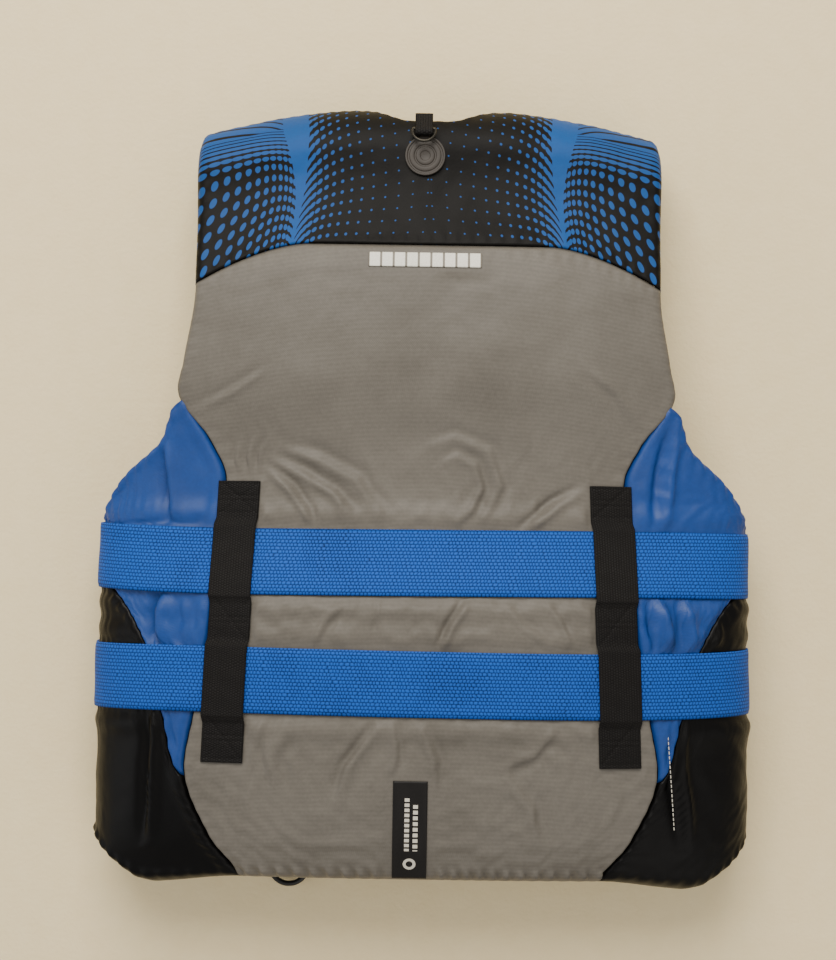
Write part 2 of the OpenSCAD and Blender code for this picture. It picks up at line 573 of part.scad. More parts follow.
// ---------- assembly ----------
module seated() translate([0, seat_y, 0]) children();
seated() back_shell();
seated() back_yoke();
seated() side_panel(-1);  // side_panel_left
seated() side_panel(1);  // side_panel_right
seated() corner_panel(-1);  // corner_panel_left
seated() corner_panel(1);  // corner_panel_right
seated() back_lining();
seated() front_shell(-1);  // front_shell_left
seated() front_shell(1);  // front_shell_right
seated() front_lining(-1);  // front_lining_left
seated() front_lining(1);  // front_lining_right
seated() strap_cover(-1);  // strap_cover_left
seated() strap_cover(1);  // strap_cover_right
seated() back_foam_upper();
seated() back_foam_lower();
seated() side_foam(-1);  // side_foam_left
seated() side_foam(1);  // side_foam_right
seated() front_foam(-1);  // front_foam_left
seated() front_foam(1);  // front_foam_right
seated() chest_foam(-1);  // chest_foam_left
seated() chest_foam(1);  // chest_foam_right
seated() strap_foam(-1);  // strap_foam_left
seated() strap_foam(1);  // strap_foam_right
seated() belt(upper_belt_y);  // upper_belt
seated() belt(lower_belt_y);  // lower_belt
seated() belt_end(upper_belt_y);  // upper_belt_end
seated() belt_end(lower_belt_y);  // lower_belt_end
seated() belt_tail(upper_belt_y);  // upper_belt_tail
seated() belt_tail(lower_belt_y);  // lower_belt_tail
seated() tail_keeper(upper_belt_y);  // upper_tail_keeper
seated() tail_keeper(lower_belt_y);  // lower_tail_keeper
seated() back_keeper(-1);  // back_keeper_left
seated() back_keeper(1);  // back_keeper_right
seated() front_keeper(-1);  // front_keeper_left
seated() front_keeper(1);  // front_keeper_right
seated() neck_loop();
seated() neck_d_ring();
seated() lanyard_loop();
seated() lanyard_d_ring();
seated() hem_label();
seated() round_badge();
seated() reflective_bar();
seated() zip_tape(-1);  // zip_tape_left
seated() zip_tape(1);  // zip_tape_right
seated() zip_teeth(-1);  // zip_teeth_left
seated() zip_teeth(1);  // zip_teeth_right
seated() zip_slider();
seated() zip_pull();
seated() zip_box();
seated() zip_stops();
seated() socket(upper_belt_y);  // upper_socket
seated() plug(upper_belt_y);  // upper_plug
seated() latch(upper_belt_y, 1);  // upper_latch_neck_side
seated() latch(upper_belt_y, -1);  // upper_latch_hem_side
seated() socket(lower_belt_y);  // lower_socket
seated() plug(lower_belt_y);  // lower_plug
seated() latch(lower_belt_y, 1);  // lower_latch_neck_side
seated() latch(lower_belt_y, -1);  // lower_latch_hem_side
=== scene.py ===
"""A closed foam life jacket with two belts, lying on its front: the looks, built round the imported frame."""
import math

import bmesh
import bpy
import numpy as np
from mathutils import Matrix, Vector, noise

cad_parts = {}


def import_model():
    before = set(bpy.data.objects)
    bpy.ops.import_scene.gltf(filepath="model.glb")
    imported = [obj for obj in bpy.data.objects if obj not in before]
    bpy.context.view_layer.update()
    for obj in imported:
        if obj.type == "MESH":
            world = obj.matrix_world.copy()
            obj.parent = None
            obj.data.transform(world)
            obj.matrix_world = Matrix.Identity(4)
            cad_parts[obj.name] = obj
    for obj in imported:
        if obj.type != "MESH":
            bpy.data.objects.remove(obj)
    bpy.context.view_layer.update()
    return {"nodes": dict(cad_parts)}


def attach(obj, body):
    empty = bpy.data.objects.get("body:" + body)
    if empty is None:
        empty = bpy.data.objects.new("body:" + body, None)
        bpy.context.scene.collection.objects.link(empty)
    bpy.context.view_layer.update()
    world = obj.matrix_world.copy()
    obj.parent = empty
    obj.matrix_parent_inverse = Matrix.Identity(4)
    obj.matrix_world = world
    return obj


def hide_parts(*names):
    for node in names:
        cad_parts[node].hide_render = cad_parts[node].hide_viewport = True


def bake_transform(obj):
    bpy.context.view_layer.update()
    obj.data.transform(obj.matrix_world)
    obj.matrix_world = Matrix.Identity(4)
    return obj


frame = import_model()
bpy.ops.object.select_all(action="DESELECT")

# ---------- the jacket's own sizes, in millimetres ----------
HALF_LENGTH = 307.0        # to the top of the shoulders
HALF_WIDTH = 256.0
THICKNESS = 115.0          # height of the back above the surface that the jacket lies on
SHOULDER_DROP = 20.0
NECK_HALF = 60.0           # half the neck opening
SHOULDER_HALF = 173.0
SEAT = 3.7                 # how far the jacket's middle lies from the origin, along Y
FOLD = 37.5                # radius of the fold over the shoulders
ZIP_HEIGHT = 20.0
WAIST_HEIGHT = 7.5         # front cloth behind the belts
LINING_DEPTH = 34.5        # outer cloth to lining
SIDE_DEPTH = 25.0          # the same at the sides
STRAP_DEPTH = 16.0         # and in the shoulders
BELT_WIDTH = 50.0
BELT_THICK = 1.6
UPPER_BELT, LOWER_BELT = -47.0, -138.0
KEEPER_WIDTH = 32.0
KEEPER_TOP_X, KEEPER_LOW_X = 141.0, 150.0
KEEPER_LOW = LOWER_BELT - BELT_WIDTH / 2 - 37
KEEPER_HIGH = UPPER_BELT + BELT_WIDTH / 2 + 35
ZIP_TOP, ZIP_LOW = 0.38 * HALF_LENGTH, -0.915 * HALF_LENGTH
LABEL_X, LABEL_LOW, LABEL_WIDTH, LABEL_LENGTH = -7.6, -287.0, 26.0, 76.0
PRINT_X, PRINT_LOW, PRINT_WIDTH, PRINT_LENGTH = -2.6, 0.6 * HALF_LENGTH - 6, 86.0, 11.0

MM = 0.001
BODY = "vest"


# ---------- curves ----------
def mix(a, b, f):
    return a + (b - a) * f


def ease(f):
    c = np.clip(f, 0.0, 1.0)
    return c * c * (3 - 2 * c)


def curve(knots, at):
    """A smooth curve through (place, value) knots, level beyond its ends."""
    k = np.array(knots, float)
    slope = np.zeros(len(k))
    slope[1:-1] = (k[2:, 1] - k[:-2, 1]) / (k[2:, 0] - k[:-2, 0])
    at = np.asarray(at, float)
    i = np.clip(np.searchsorted(k[:, 0], at, side="right") - 1, 0, len(k) - 2)
    h = k[i + 1, 0] - k[i, 0]
    f = np.clip((at - k[i, 0]) / h, 0, 1)
    return ((2 * f ** 3 - 3 * f ** 2 + 1) * k[i, 1] + (f ** 3 - 2 * f ** 2 + f) * slope[i] * h
            + (3 * f ** 2 - 2 * f ** 3) * k[i + 1, 1] + (f ** 3 - f ** 2) * slope[i + 1] * h)


# Height of the back along its middle, as a share of THICKNESS, against y / HALF_LENGTH
TOP = [(-1, 0.78), (-0.93, 0.88), (-0.84, 0.96), (-0.65, 1), (-0.33, 1), (-0.23, 0.97),
       (-0.07, 0.85), (0.1, 0.83), (0.33, 0.9), (0.58, 0.86), (0.75, 0.76), (0.88, 0.66)]
# Half-width at which the cross-section closes, as a share of HALF_WIDTH
WIDE = [(-0.9, 1), (-0.1, 0.985), (0.1, 0.985), (0.33, 1.02), (0.65, 1.18), (0.88, 1.65)]
# Seam between the back and the side panels in millimetres, and the armhole edge above it
BACK_SEAM = [(-0.945, 139), (-0.84, 161), (-0.69, 181), (-0.54, 175), (-0.34, 163), (-0.13, 157),
             (0.055, 154), (0.14, 166), (0.253, 186), (0.34, 182), (0.53, 173)]
# The side panels' lower edge, their armhole edge and the corner panels' hem, from back seam to front seam
SIDE_LOW = [(0, -0.69), (0.063, -0.55), (0.14, -0.37), (0.25, -0.25), (0.5, -0.16),
            (0.66, -0.26), (0.82, -0.42), (1, -0.65)]
SIDE_TOP = [(0, 0.253), (0.12, 0.14), (0.26, 0.06), (0.38, -0.02), (0.5, -0.09),
            (0.68, -0.06), (0.85, 0.03), (1, 0.08)]
CORNER_HEM = [(0, -0.945), (0.14, -0.965), (0.2, -0.968), (0.27, -0.935), (0.36, -0.888),
              (0.45, -0.865), (0.6, -0.88), (0.75, -0.915), (1, -0.935)]


def top_z(y):
    return THICKNESS * curve(TOP, y / HALF_LENGTH)


def mid_z(y):
    return mix(0.435 * THICKNESS, FOLD, ease((y / HALF_LENGTH - 0.3) / 0.55))


def wide(y):
    return HALF_WIDTH * curve(WIDE, y / HALF_LENGTH)


def back_seam(y):
    return curve(BACK_SEAM, y / HALF_LENGTH)


def front_seam(y):
    return HALF_WIDTH * mix(0.69, 0.58, ease((y / HALF_LENGTH + 0.1) / 0.45))


def fold_y(x):
    """Where the fold over the shoulders starts, at x."""
    out = np.maximum(0, (np.abs(x) - NECK_HALF) / (SHOULDER_HALF - NECK_HALF))
    return HALF_LENGTH - SHOULDER_DROP * out ** 1.5 - FOLD


ZIP_HALF = 12.0            # half the gap between the fronts, which the zip's tapes fill
WAIST_REACH, WAIST_FADE = 52.0, 40.0   # how far past the belts the front is drawn in, and over what length


def neckline(y):
    """The inner edge of a front, from the zip up to the side of the neck."""
    return mix(ZIP_HALF, NECK_HALF + 2, ease((y - ZIP_TOP) / (HALF_LENGTH - ZIP_TOP)))


def in_waist(y):
    """1 behind the belts and 0 well away from them."""
    half = BELT_WIDTH / 2 + WAIST_REACH
    return ease((y - LOWER_BELT + half) / WAIST_FADE) * ease((UPPER_BELT + half - y) / WAIST_FADE)


# ---------- places on the jacket ----------
# t goes round a cross-section: 0 at the middle of the back, 90 at the side, 180 at the zip.
# d is the depth below the outer face.
BACK_ROUND, FRONT_ROUND, FRONT_FLAT = 2.5, 6.0, 1.01
ZIP_VALLEY, BELT_VALLEY = 16, 82   # half-width of the hollow along the zip, and of that behind the buckles
VALLEY_SLOPE = 26
FOLD_BLEND = 95            # length over which the back runs into the fold at the shoulders


def around(t, y, d, flat=False):
    """A point on the cross-section at y; flat leaves the hollow along the zip out."""
    t, y, d = np.broadcast_arrays(*(np.asarray(v, float) for v in (t, y, d)))
    s, c = np.sin(np.radians(t)), np.cos(np.radians(t))
    behind = t <= 90
    s, a = np.maximum(s, 0), np.abs(c)
    across = np.where(behind, s ** (2 / BACK_ROUND), s ** (2 / FRONT_ROUND))
    w, m = wide(y), mid_z(y)
    waist = in_waist(y)
    low = mix(0, WAIST_HEIGHT, waist)
    if not flat:
        start = mix(ZIP_VALLEY, BELT_VALLEY, waist)
        low = mix(ZIP_HEIGHT, low, ease((w * across - start) / VALLEY_SLOPE))
    back = m + (top_z(y) - m - d) * a ** (2 / BACK_ROUND)
    front = m - (m - low - d) * np.minimum(1, FRONT_FLAT * a ** (2 / FRONT_ROUND))
    return np.stack([(w - d) * across, y + SEAT, np.where(behind, back, front)], -1)


def back_t(x, y):
    return np.degrees(np.arcsin(np.minimum(1, (np.abs(x) / wide(y)) ** (BACK_ROUND / 2))))


def front_t(x, y):
    return 180 - np.degrees(np.arcsin(np.minimum(1, (np.abs(x) / wide(y)) ** (FRONT_ROUND / 2))))


def over(x, w, d):
    """On the back, over the shoulder and down the front: w is y on the back and keeps growing."""
    x, w, d = np.broadcast_arrays(*(np.asarray(v, float) for v in (x, w, d)))
    start = fold_y(x)
    y = np.minimum(w, start)
    k = 1 - d / wide(y)
    c = np.maximum(1e-9, 1 - (np.abs(x) / wide(y)) ** BACK_ROUND) ** (1 / BACK_ROUND)
    m = mid_z(y)
    back = mix(m + (top_z(y) - m - d) * c, 2 * FOLD - d, ease((y - start + FOLD_BLEND) / FOLD_BLEND))
    turn = (w - start) / FOLD
    over_y = np.where(turn <= 0, w, np.where(turn <= math.pi, start + (FOLD - d) * np.sin(turn),
                                              start - (w - start - math.pi * FOLD)))
    over_z = np.where(turn <= 0, back, np.where(turn <= math.pi, FOLD + (FOLD - d) * np.cos(turn), d))
    return np.stack([x * k, over_y + SEAT, over_z], -1)


def fold_w(x, share):
    return fold_y(x) + math.pi * FOLD * share


# ---------- meshes ----------
def make_piece(name, verts, faces, uv=None, smooth=True):
    """A mesh object from points in millimetres; uv is one pair in metres for each point."""
    mesh = bpy.data.meshes.new(name)
    mesh.from_pydata((np.asarray(verts) * MM).tolist(), [], faces)
    if uv is not None:
        layer = mesh.uv_layers.new(name="Cloth")
        corners = np.zeros(len(mesh.loops), int)
        mesh.loops.foreach_get("vertex_index", corners)
        layer.data.foreach_set("uv", np.asarray(uv, float)[corners].astype(np.float32).ravel())
    mesh.polygons.foreach_set("use_smooth", [smooth] * len(mesh.polygons))
    mesh.update()
    obj = bpy.data.objects.new(name, mesh)
    bpy.context.scene.collection.objects.link(obj)
    return obj


def grid_faces(rows, cols, flip=False):
    i = np.arange((rows - 1) * cols).reshape(rows - 1, cols)[:, :-1].ravel()
    quads = np.stack([i, i + 1, i + cols + 1, i + cols], -1)
    return (quads[:, ::-1] if flip else quads).tolist()


def flat_coords(points):
    """Distances along the rows and along the columns of a grid of points, in millimetres."""
    across = np.zeros(points.shape[:2])
    along = np.zeros(points.shape[:2])
    across[:, 1:] = np.cumsum(np.linalg.norm(np.diff(points, axis=1), axis=-1), 1)
    along[1:] = np.cumsum(np.linalg.norm(np.diff(points, axis=0), axis=-1), 0)
    return across, along


def apply_modifiers(obj):
    bpy.ops.object.select_all(action="DESELECT")
    bpy.context.view_layer.objects.active = obj
    obj.select_set(True)
    for m in list(obj.modifiers):
        bpy.ops.object.modifier_apply(modifier=m.name)
    obj.select_set(False)


def thicken(obj, thick, offset=-1):
    """Gives a sheet its thickness in millimetres, inwards."""
    m = obj.modifiers.new("Thickness", "SOLIDIFY")
    m.thickness = thick * MM
    m.offset = offset
    m.use_even_offset = False
    apply_modifiers(obj)


# ---------- creases ----------
def polyline(points, X, Y):
    """Signed distance to a given line and the share along it, for every point of a grid."""
    p = np.array(points, float)
    step = np.linalg.norm(np.diff(p, axis=0), axis=1)
    total = step.sum()
    best = np.full(X.shape, 1e9)
    side, share = np.zeros(X.shape), np.zeros(X.shape)
    run = 0.0
    for a, b, length in zip(p[:-1], p[1:], step):
        d = (b - a) / length
        f = np.clip((X - a[0]) * d[0] + (Y - a[1]) * d[1], 0, length)
        dx, dy = X - a[0] - d[0] * f, Y - a[1] - d[1] * f
        dist = np.hypot(dx, dy)
        near = dist < best
        best = np.where(near, dist, best)
        side = np.where(near, np.sign(d[0] * dy - d[1] * dx) * dist, side)
        share = np.where(near, (run + f) / total, share)
        run += length
    return side, share


def crease(X, Y, points, width, height):
    """A ridge with a valley beside it, which fades at both ends of the line."""
    side, share = polyline(points, X, Y)
    fade = np.sin(math.pi * np.clip(share, 0.02, 0.98)) ** 0.7
    ends = np.exp(-np.maximum(0, np.abs(side) - 4 * width) / width)
    shape = np.exp(-(side / width) ** 2) - 0.75 * np.exp(-((side - 1.7 * width) / (1.2 * width)) ** 2)
    return height * fade * ends * shape


FRACTAL = (1.0, 2.0, 2)     # roughness, lacunarity and octaves


def ripples(X, Y, size, seed):
    """Soft unevenness between -1 and 1, in lumps of the given size."""
    flat = [noise.fractal(Vector((x / size, y / size, seed)), *FRACTAL)
            for x, y in zip(X.ravel(), Y.ravel())]
    return np.array(flat).reshape(X.shape)


def upsample(coarse, U, V):
    """Values of a coarse grid at places U, V between 0 and 1, by a smooth bicubic curve."""
    rows, cols = coarse.shape[:2]

    def weights(at, count):
        pos = np.clip(at, 0, 1) * (count - 1)
        i = np.clip(pos.astype(int), 0, count - 2)
        f = pos - i
        w = [((-f + 2) * f - 1) * f / 2, ((3 * f - 5) * f) * f / 2 + 1,
             ((-3 * f + 4) * f + 1) * f / 2, ((f - 1) * f) * f / 2]
        return [np.clip(i + k - 1, 0, count - 1) for k in range(4)], w

    ci, cw = weights(U, cols)
    ri, rw = weights(V, rows)
    total = 0
    for a, wa in zip(ri, rw):
        for b, wb in zip(ci, cw):
            total = total + coarse[a, b] * (wa * wb)[..., None]
    return total


# ---------- cloth simulation ----------
SIM_FRAMES = 18
SIM_STEP = 6.0             # coarse grid, in millimetres
SIM_BED = 2.2              # depth of the foam below the cloth
SIM_CAP = 5.0              # no point moves further than this
SIM_BUMPS = (0.3, 0.3, 0.6)   # unevenness that the cloth starts with, in X, Y and Z
SIM_EDGE = 1.2             # cells along each edge that the seams hold


def loose_cloth(name, place, held, slack, seed):
    """Lets a slack panel settle on its foam, held at its seams and under the belts.
    Returns a coarse grid of how far its points moved, in millimetres."""
    probe = place(*np.meshgrid(np.linspace(0, 1, 5), np.linspace(0, 1, 5)), 0)
    across, along = flat_coords(probe)
    cols = int(across[:, -1].max() / SIM_STEP) + 2
    rows = int(along[-1].max() / SIM_STEP) + 2
    U, V = np.meshgrid(np.linspace(0, 1, cols), np.linspace(0, 1, rows))
    start = place(U, V, 0)
    bed = make_piece(name + "_bed", place(U, V, SIM_BED).reshape(-1, 3), grid_faces(rows, cols))
    bed.modifiers.new("Collision", "COLLISION")
    bed.collision.thickness_outer = 0.4 * MM
    bed.collision.cloth_friction = 8
    bumpy = start + ripples(U * cols, V * rows, 3.5, seed)[..., None] * np.array(SIM_BUMPS)
    cloth = make_piece(name + "_sim", bumpy.reshape(-1, 3), grid_faces(rows, cols))
    pinned = cloth.vertex_groups.new(name="Held")
    weight = np.maximum(held(start), 0)
    rim_u, rim_v = SIM_EDGE / cols, SIM_EDGE / rows
    edge = (U < rim_u) | (U > 1 - rim_u) | (V < rim_v) | (V > 1 - rim_v)
    weight = np.where(edge, 1, weight).ravel()
    for i in np.nonzero(weight > 0.02)[0].tolist():
        pinned.add([i], float(weight[i]), "REPLACE")
    m = cloth.modifiers.new("Cloth", "CLOTH")
    s = m.settings
    s.quality = 5
    s.mass = 0.12
    s.air_damping = 2
    s.tension_stiffness = s.compression_stiffness = 12
    s.shear_stiffness = 4
    s.bending_stiffness = 1.2
    s.tension_damping = s.compression_damping = 8
    s.vertex_group_mass = "Held"
    s.shrink_min = -slack
    m.collision_settings.distance_min = 0.6 * MM
    m.collision_settings.collision_quality = 2
    m.point_cache.frame_start, m.point_cache.frame_end = 1, SIM_FRAMES
    scene = bpy.context.scene
    for step in range(1, SIM_FRAMES + 1):
        scene.frame_set(step)
    shown = cloth.evaluated_get(bpy.context.evaluated_depsgraph_get())
    end = np.zeros(len(shown.data.vertices) * 3, np.float32)
    shown.data.vertices.foreach_get("co", end)
    move = end.reshape(start.shape) / MM - start
    size = np.linalg.norm(move, axis=-1, keepdims=True)
    move *= np.minimum(1, SIM_CAP / np.maximum(size, 1e-6))
    scene.frame_set(1)
    for obj in (cloth, bed):
        bpy.data.objects.remove(obj)
    return move


# ---------- sewn panels ----------
def rounded(dist, radius):
    """How far a panel falls away near an edge: a quarter circle of the given radius."""
    k = np.clip(1 - dist / np.maximum(radius, 1e-6), 0, 1)
    return radius * (1 - np.sqrt(np.maximum(0, 1 - k * k)))


def stations(count, low_skirt, high_skirt, steps=7):
    """Places between 0 and 1, with the extra depths of a wall at either end."""
    at = np.linspace(0, 1, count + 1)
    extra = np.zeros(count + 1)
    drop = np.linspace(0, 1, steps + 1)[1:]
    if low_skirt:
        at = np.concatenate([np.zeros(steps), at])
        extra = np.concatenate([drop[::-1] * low_skirt, extra])
    if high_skirt:
        at = np.concatenate([at, np.ones(steps)])
        extra = np.concatenate([extra, drop * high_skirt])
    return at, extra


PUCKER_PITCH = 11.0        # between the small gathers along a sewn edge
PUCKER_IN, PUCKER_REACH = 6.0, 5.0   # how far from the edge they are highest, and how far they spread
TAUT = 0.22                # share of its simulated movement that taut cloth keeps
SLACK_FADE = (30.0, 55.0)  # above the upper belt: where the cloth starts to be taut, and how fast
FLOOR_GAP = 0.2
PLAIN = (0, 0, 0, 0)


def panel(name, place, cols, rows, radii, skirts=PLAIN, relief=None, moved=None,
          thick=0.7, flip=False, pucker=(0.3, 0.3, 0.3, 0.3), calm=14, coords=None):
    """A sewn panel. radii, skirts and pucker are for its left, right, low and high edges, in
    millimetres: how round the edge is, how deep a wall goes down from it to the lining, and how
    high its gathers are. calm is how far from an edge the creases stop. relief raises the cloth,
    moved adds a simulated movement, and coords replaces the distances as its flat coordinates."""
    us, ud = stations(cols, skirts[0], skirts[1])
    vs, vd = stations(rows, skirts[2], skirts[3])
    U, V = np.meshgrid(us, vs)
    wall = np.maximum(*np.meshgrid(ud, vd))
    base = place(U, V, 0)
    across, along = flat_coords(base)
    X, Y = base[..., 0], base[..., 1] - SEAT
    fall, inner, gather = 0, 1, 0
    for k, dist in enumerate((across, across[:, -1:] - across, along, along[-1:] - along)):
        radius = radii[k](X, Y) if callable(radii[k]) else np.full(U.shape, float(radii[k]))
        fall = fall + rounded(dist, radius) ** 2.5
        inner = inner * ease(dist / max(calm, 0.1))
        run = along if k < 2 else across
        wave = np.sin(run * 2 * math.pi / PUCKER_PITCH + 3 * np.sin(run / 37 + k))
        gather = gather + pucker[k] * np.exp(-((dist - PUCKER_IN) / PUCKER_REACH) ** 2) * wave
    depth = fall ** 0.4 + wall - gather * (wall <= 0) * clear_of_trims(X, Y)
    if relief is not None:
        depth = depth - relief(X, Y) * inner
    points = place(U, V, depth)
    if moved is not None:
        # the cloth is slack beside the belts and taut well away from them
        above = np.maximum(0, Y - UPPER_BELT - SLACK_FADE[0]) / SLACK_FADE[1]
        loose = mix(TAUT, 1, np.exp(-above ** 2))
        loose = loose * clear_of_trims(X, Y) * inner * (wall <= 0)
        points = points + upsample(moved, U, V) * loose[..., None]
    points[..., 2] = np.maximum(points[..., 2], FLOOR_GAP)   # nothing sinks into the floor
    if coords is None:
        uv = np.stack([across, along], -1)
    else:
        uv = np.stack(np.broadcast_arrays(*coords(U, V)), -1)
    walls = np.meshgrid(ud * np.where(us > 0.5, 1, -1), vd * np.where(vs > 0.5, 1, -1))
    uv = uv + np.stack(walls, -1)
    obj = make_piece(name, points.reshape(-1, 3), grid_faces(len(vs), len(us), flip),
                     uv.reshape(-1, 2) * MM)
    obj["cut"] = [float(across.max() + ud.max() * 2) * MM, float(along.max() + vd.max() * 2) * MM]
    thicken(obj, thick)
    return obj


def mirrored(place, side):
    """The same place on the left (side -1) or the right (side 1)."""
    def at(u, v, d):
        points = place(u, v, d)
        return points * np.array([side, 1, 1])
    return at


# ---------- materials ----------
def colour(text):
    """An sRGB hex value as a linear colour."""
    parts = [int(text[i:i + 2], 16) / 255 for i in (0, 2, 4)]
    return [c / 12.92 if c <= 0.04045 else ((c + 0.055) / 1.055) ** 2.4 for c in parts] + [1.0]


def add(tree, kind, inputs=(), out=0, **settings):
    """Adds a node; inputs are values or sockets by number or name. Gives back one of its outputs."""
    made = tree.nodes.new(kind)
    for key, value in settings.items():
        setattr(made, key, value)
    for key, value in (inputs.items() if isinstance(inputs, dict) else enumerate(inputs)):
        if isinstance(value, bpy.types.NodeSocket):
            tree.links.new(value, made.inputs[key])
        elif value is not None:
            made.inputs[key].default_value = value
    return made.outputs[out]


def new_material(name, roughness, ior=1.5, metallic=0.0, gloss=0.5):
    """An empty material with its Principled shader: the same values all over are set here."""
    made = bpy.data.materials.new(name)
    made.use_nodes = True
    tree = made.node_tree
    shader = tree.nodes["Principled BSDF"]
    shader.inputs["Roughness"].default_value = roughness
    shader.inputs["IOR"].default_value = ior
    shader.inputs["Metallic"].default_value = metallic
    shader.inputs["Specular IOR Level"].default_value = gloss
    return made, tree, shader


MATH, MIX, RANGE = "ShaderNodeMath", "ShaderNodeMix", "ShaderNodeMapRange"


def calculator(tree):
    """A short name for a tree's Math nodes: an operation and its values."""
    def calc(operation, *values, clamp=False):
        return add(tree, MATH, values, operation=operation, use_clamp=clamp)
    return calc


def flat_place(tree):
    """A sheet's own flat coordinates, in metres: across it and along it."""
    uv = add(tree, "ShaderNodeUVMap", uv_map="Cloth")
    return add(tree, "ShaderNodeSeparateXYZ", [uv]).node.outputs


def texture(tree, place, scale, detail=2.0, roughness=0.5):
    """Noise at Object coordinates, scale lumps to the metre."""
    inputs = {"Vector": place, "Scale": scale, "Detail": detail, "Roughness": roughness}
    return add(tree, "ShaderNodeTexNoise", inputs)


def between_colours(tree, share, first, second):
    """A blend of two colours, each a hex value or a socket."""
    first, second = (colour(c) if isinstance(c, str) else c for c in (first, second))
    return add(tree, MIX, {0: share, 6: first, 7: second}, out=2, data_type="RGBA")


def connect(tree, shader, base, height, strength, distance):
    """Joins a colour and a bump, distance deep in millimetres, to the shader."""
    tree.links.new(base, shader.inputs["Base Color"])
    bump = add(tree, "ShaderNodeBump", {"Strength": strength, "Distance": distance * MM, "Height": height})
    tree.links.new(bump, shader.inputs["Normal"])


RIB_PITCH = 3.6            # between the faint ribs of the grey cloth, in millimetres
RIB_WANDER = 9.0


def coated_nylon(name, face, shade, weave=1.5, rough=0.5, soil=0.25, gloss=0.3, rib=0.0):
    """Plain-weave nylon with a polyurethane coat: a fine even grain with a dull gloss, and painted shade in
    the low spots of the weave.
    The real threads are 0.35 mm apart; weave is how coarse they are drawn, in millimetres."""
    made, tree, shader = new_material(name, rough, ior=1.53, gloss=gloss)
    calc = calculator(tree)
    parts = flat_place(tree)
    turn = 2 * math.pi / (weave * MM)
    warp, weft = (calc("SINE", calc("MULTIPLY", part, turn)) for part in parts[:2])
    thread = calc("MULTIPLY", warp, weft)
    place = add(tree, "ShaderNodeTexCoord", out=3)
    cloud = texture(tree, place, 14, 5, 0.6)
    grain = texture(tree, place, 420, 3)
    patch = add(tree, RANGE, {0: cloud, 1: 0.42, 2: 0.72, 3: 0.0, 4: soil})
    speck = add(tree, RANGE, {0: grain, 1: 0.3, 2: 0.7, 3: 0.0, 4: 0.16})
    # painted shade: the weave's low spots, where the bump dips, are darkened by up to 0.10
    threads = add(tree, RANGE, {0: thread, 1: -1.0, 2: 1.0, 3: 0.10, 4: 0.0})
    dark = calc("ADD", calc("ADD", patch, speck), threads, clamp=True)
    bend = calc("MULTIPLY", cloud, RIB_WANDER)
    band = calc("SINE", calc("MULTIPLY_ADD", parts[1], 2 * math.pi / (RIB_PITCH * MM), bend))
    dark = calc("MULTIPLY_ADD", band, rib, dark, clamp=True)
    height = calc("ADD", calc("MULTIPLY", thread, 0.35), grain)
    connect(tree, shader, between_colours(tree, dark, face, shade), height, 0.35, 0.25)
    return made


def webbing(name, face, shade, wale, pick, depth, gloss=0.3):
    """Woven polypropylene webbing: rows of short raised stitches along the strap, with painted shade
    darkening the gaps between them. wale is the distance between the rows and pick the stitch, in
    millimetres."""
    made, tree, shader = new_material(name, 0.6, ior=1.49, gloss=gloss)
    calc = calculator(tree)
    parts = flat_place(tree)
    place = add(tree, "ShaderNodeTexCoord", out=3)
    shift = calc("MULTIPLY", texture(tree, place, 90, 2), 2.2)
    row = calc("MULTIPLY", parts[1], 1 / (wale * MM))
    odd = calc("MODULO", calc("FLOOR", row), 2.0)
    step = calc("MULTIPLY_ADD", odd, 0.5, calc("MULTIPLY_ADD", parts[0], 1 / (pick * MM), shift))
    hump = [calc("POWER", calc("ABSOLUTE", calc("SINE", calc("MULTIPLY", value, math.pi))), 0.55)
            for value in (row, step)]
    height = calc("MULTIPLY", *hump)
    fuzz = texture(tree, place, 700, 3)
    cloud = texture(tree, place, 25, 4)
    # painted shade: where the weave's bump is low, between the raised stitches, the colour is darkened by
    # depth towards the second colour
    light = add(tree, RANGE, {0: height, 1: 0.15, 2: 0.85, 3: 1.0, 4: 0.0})
    grime = add(tree, RANGE, {0: cloud, 1: 0.5, 2: 0.75, 3: 0.0, 4: 0.14})
    fibre = add(tree, RANGE, {0: fuzz, 1: 0.3, 2: 0.7, 3: -0.1, 4: 0.1})
    dark = calc("ADD", calc("MULTIPLY_ADD", light, depth, grime), fibre, clamp=True)
    rise = calc("MULTIPLY_ADD", fuzz, 0.25, height)
    connect(tree, shader, between_colours(tree, dark, face, shade), rise, 0.7, 0.5)
    return made


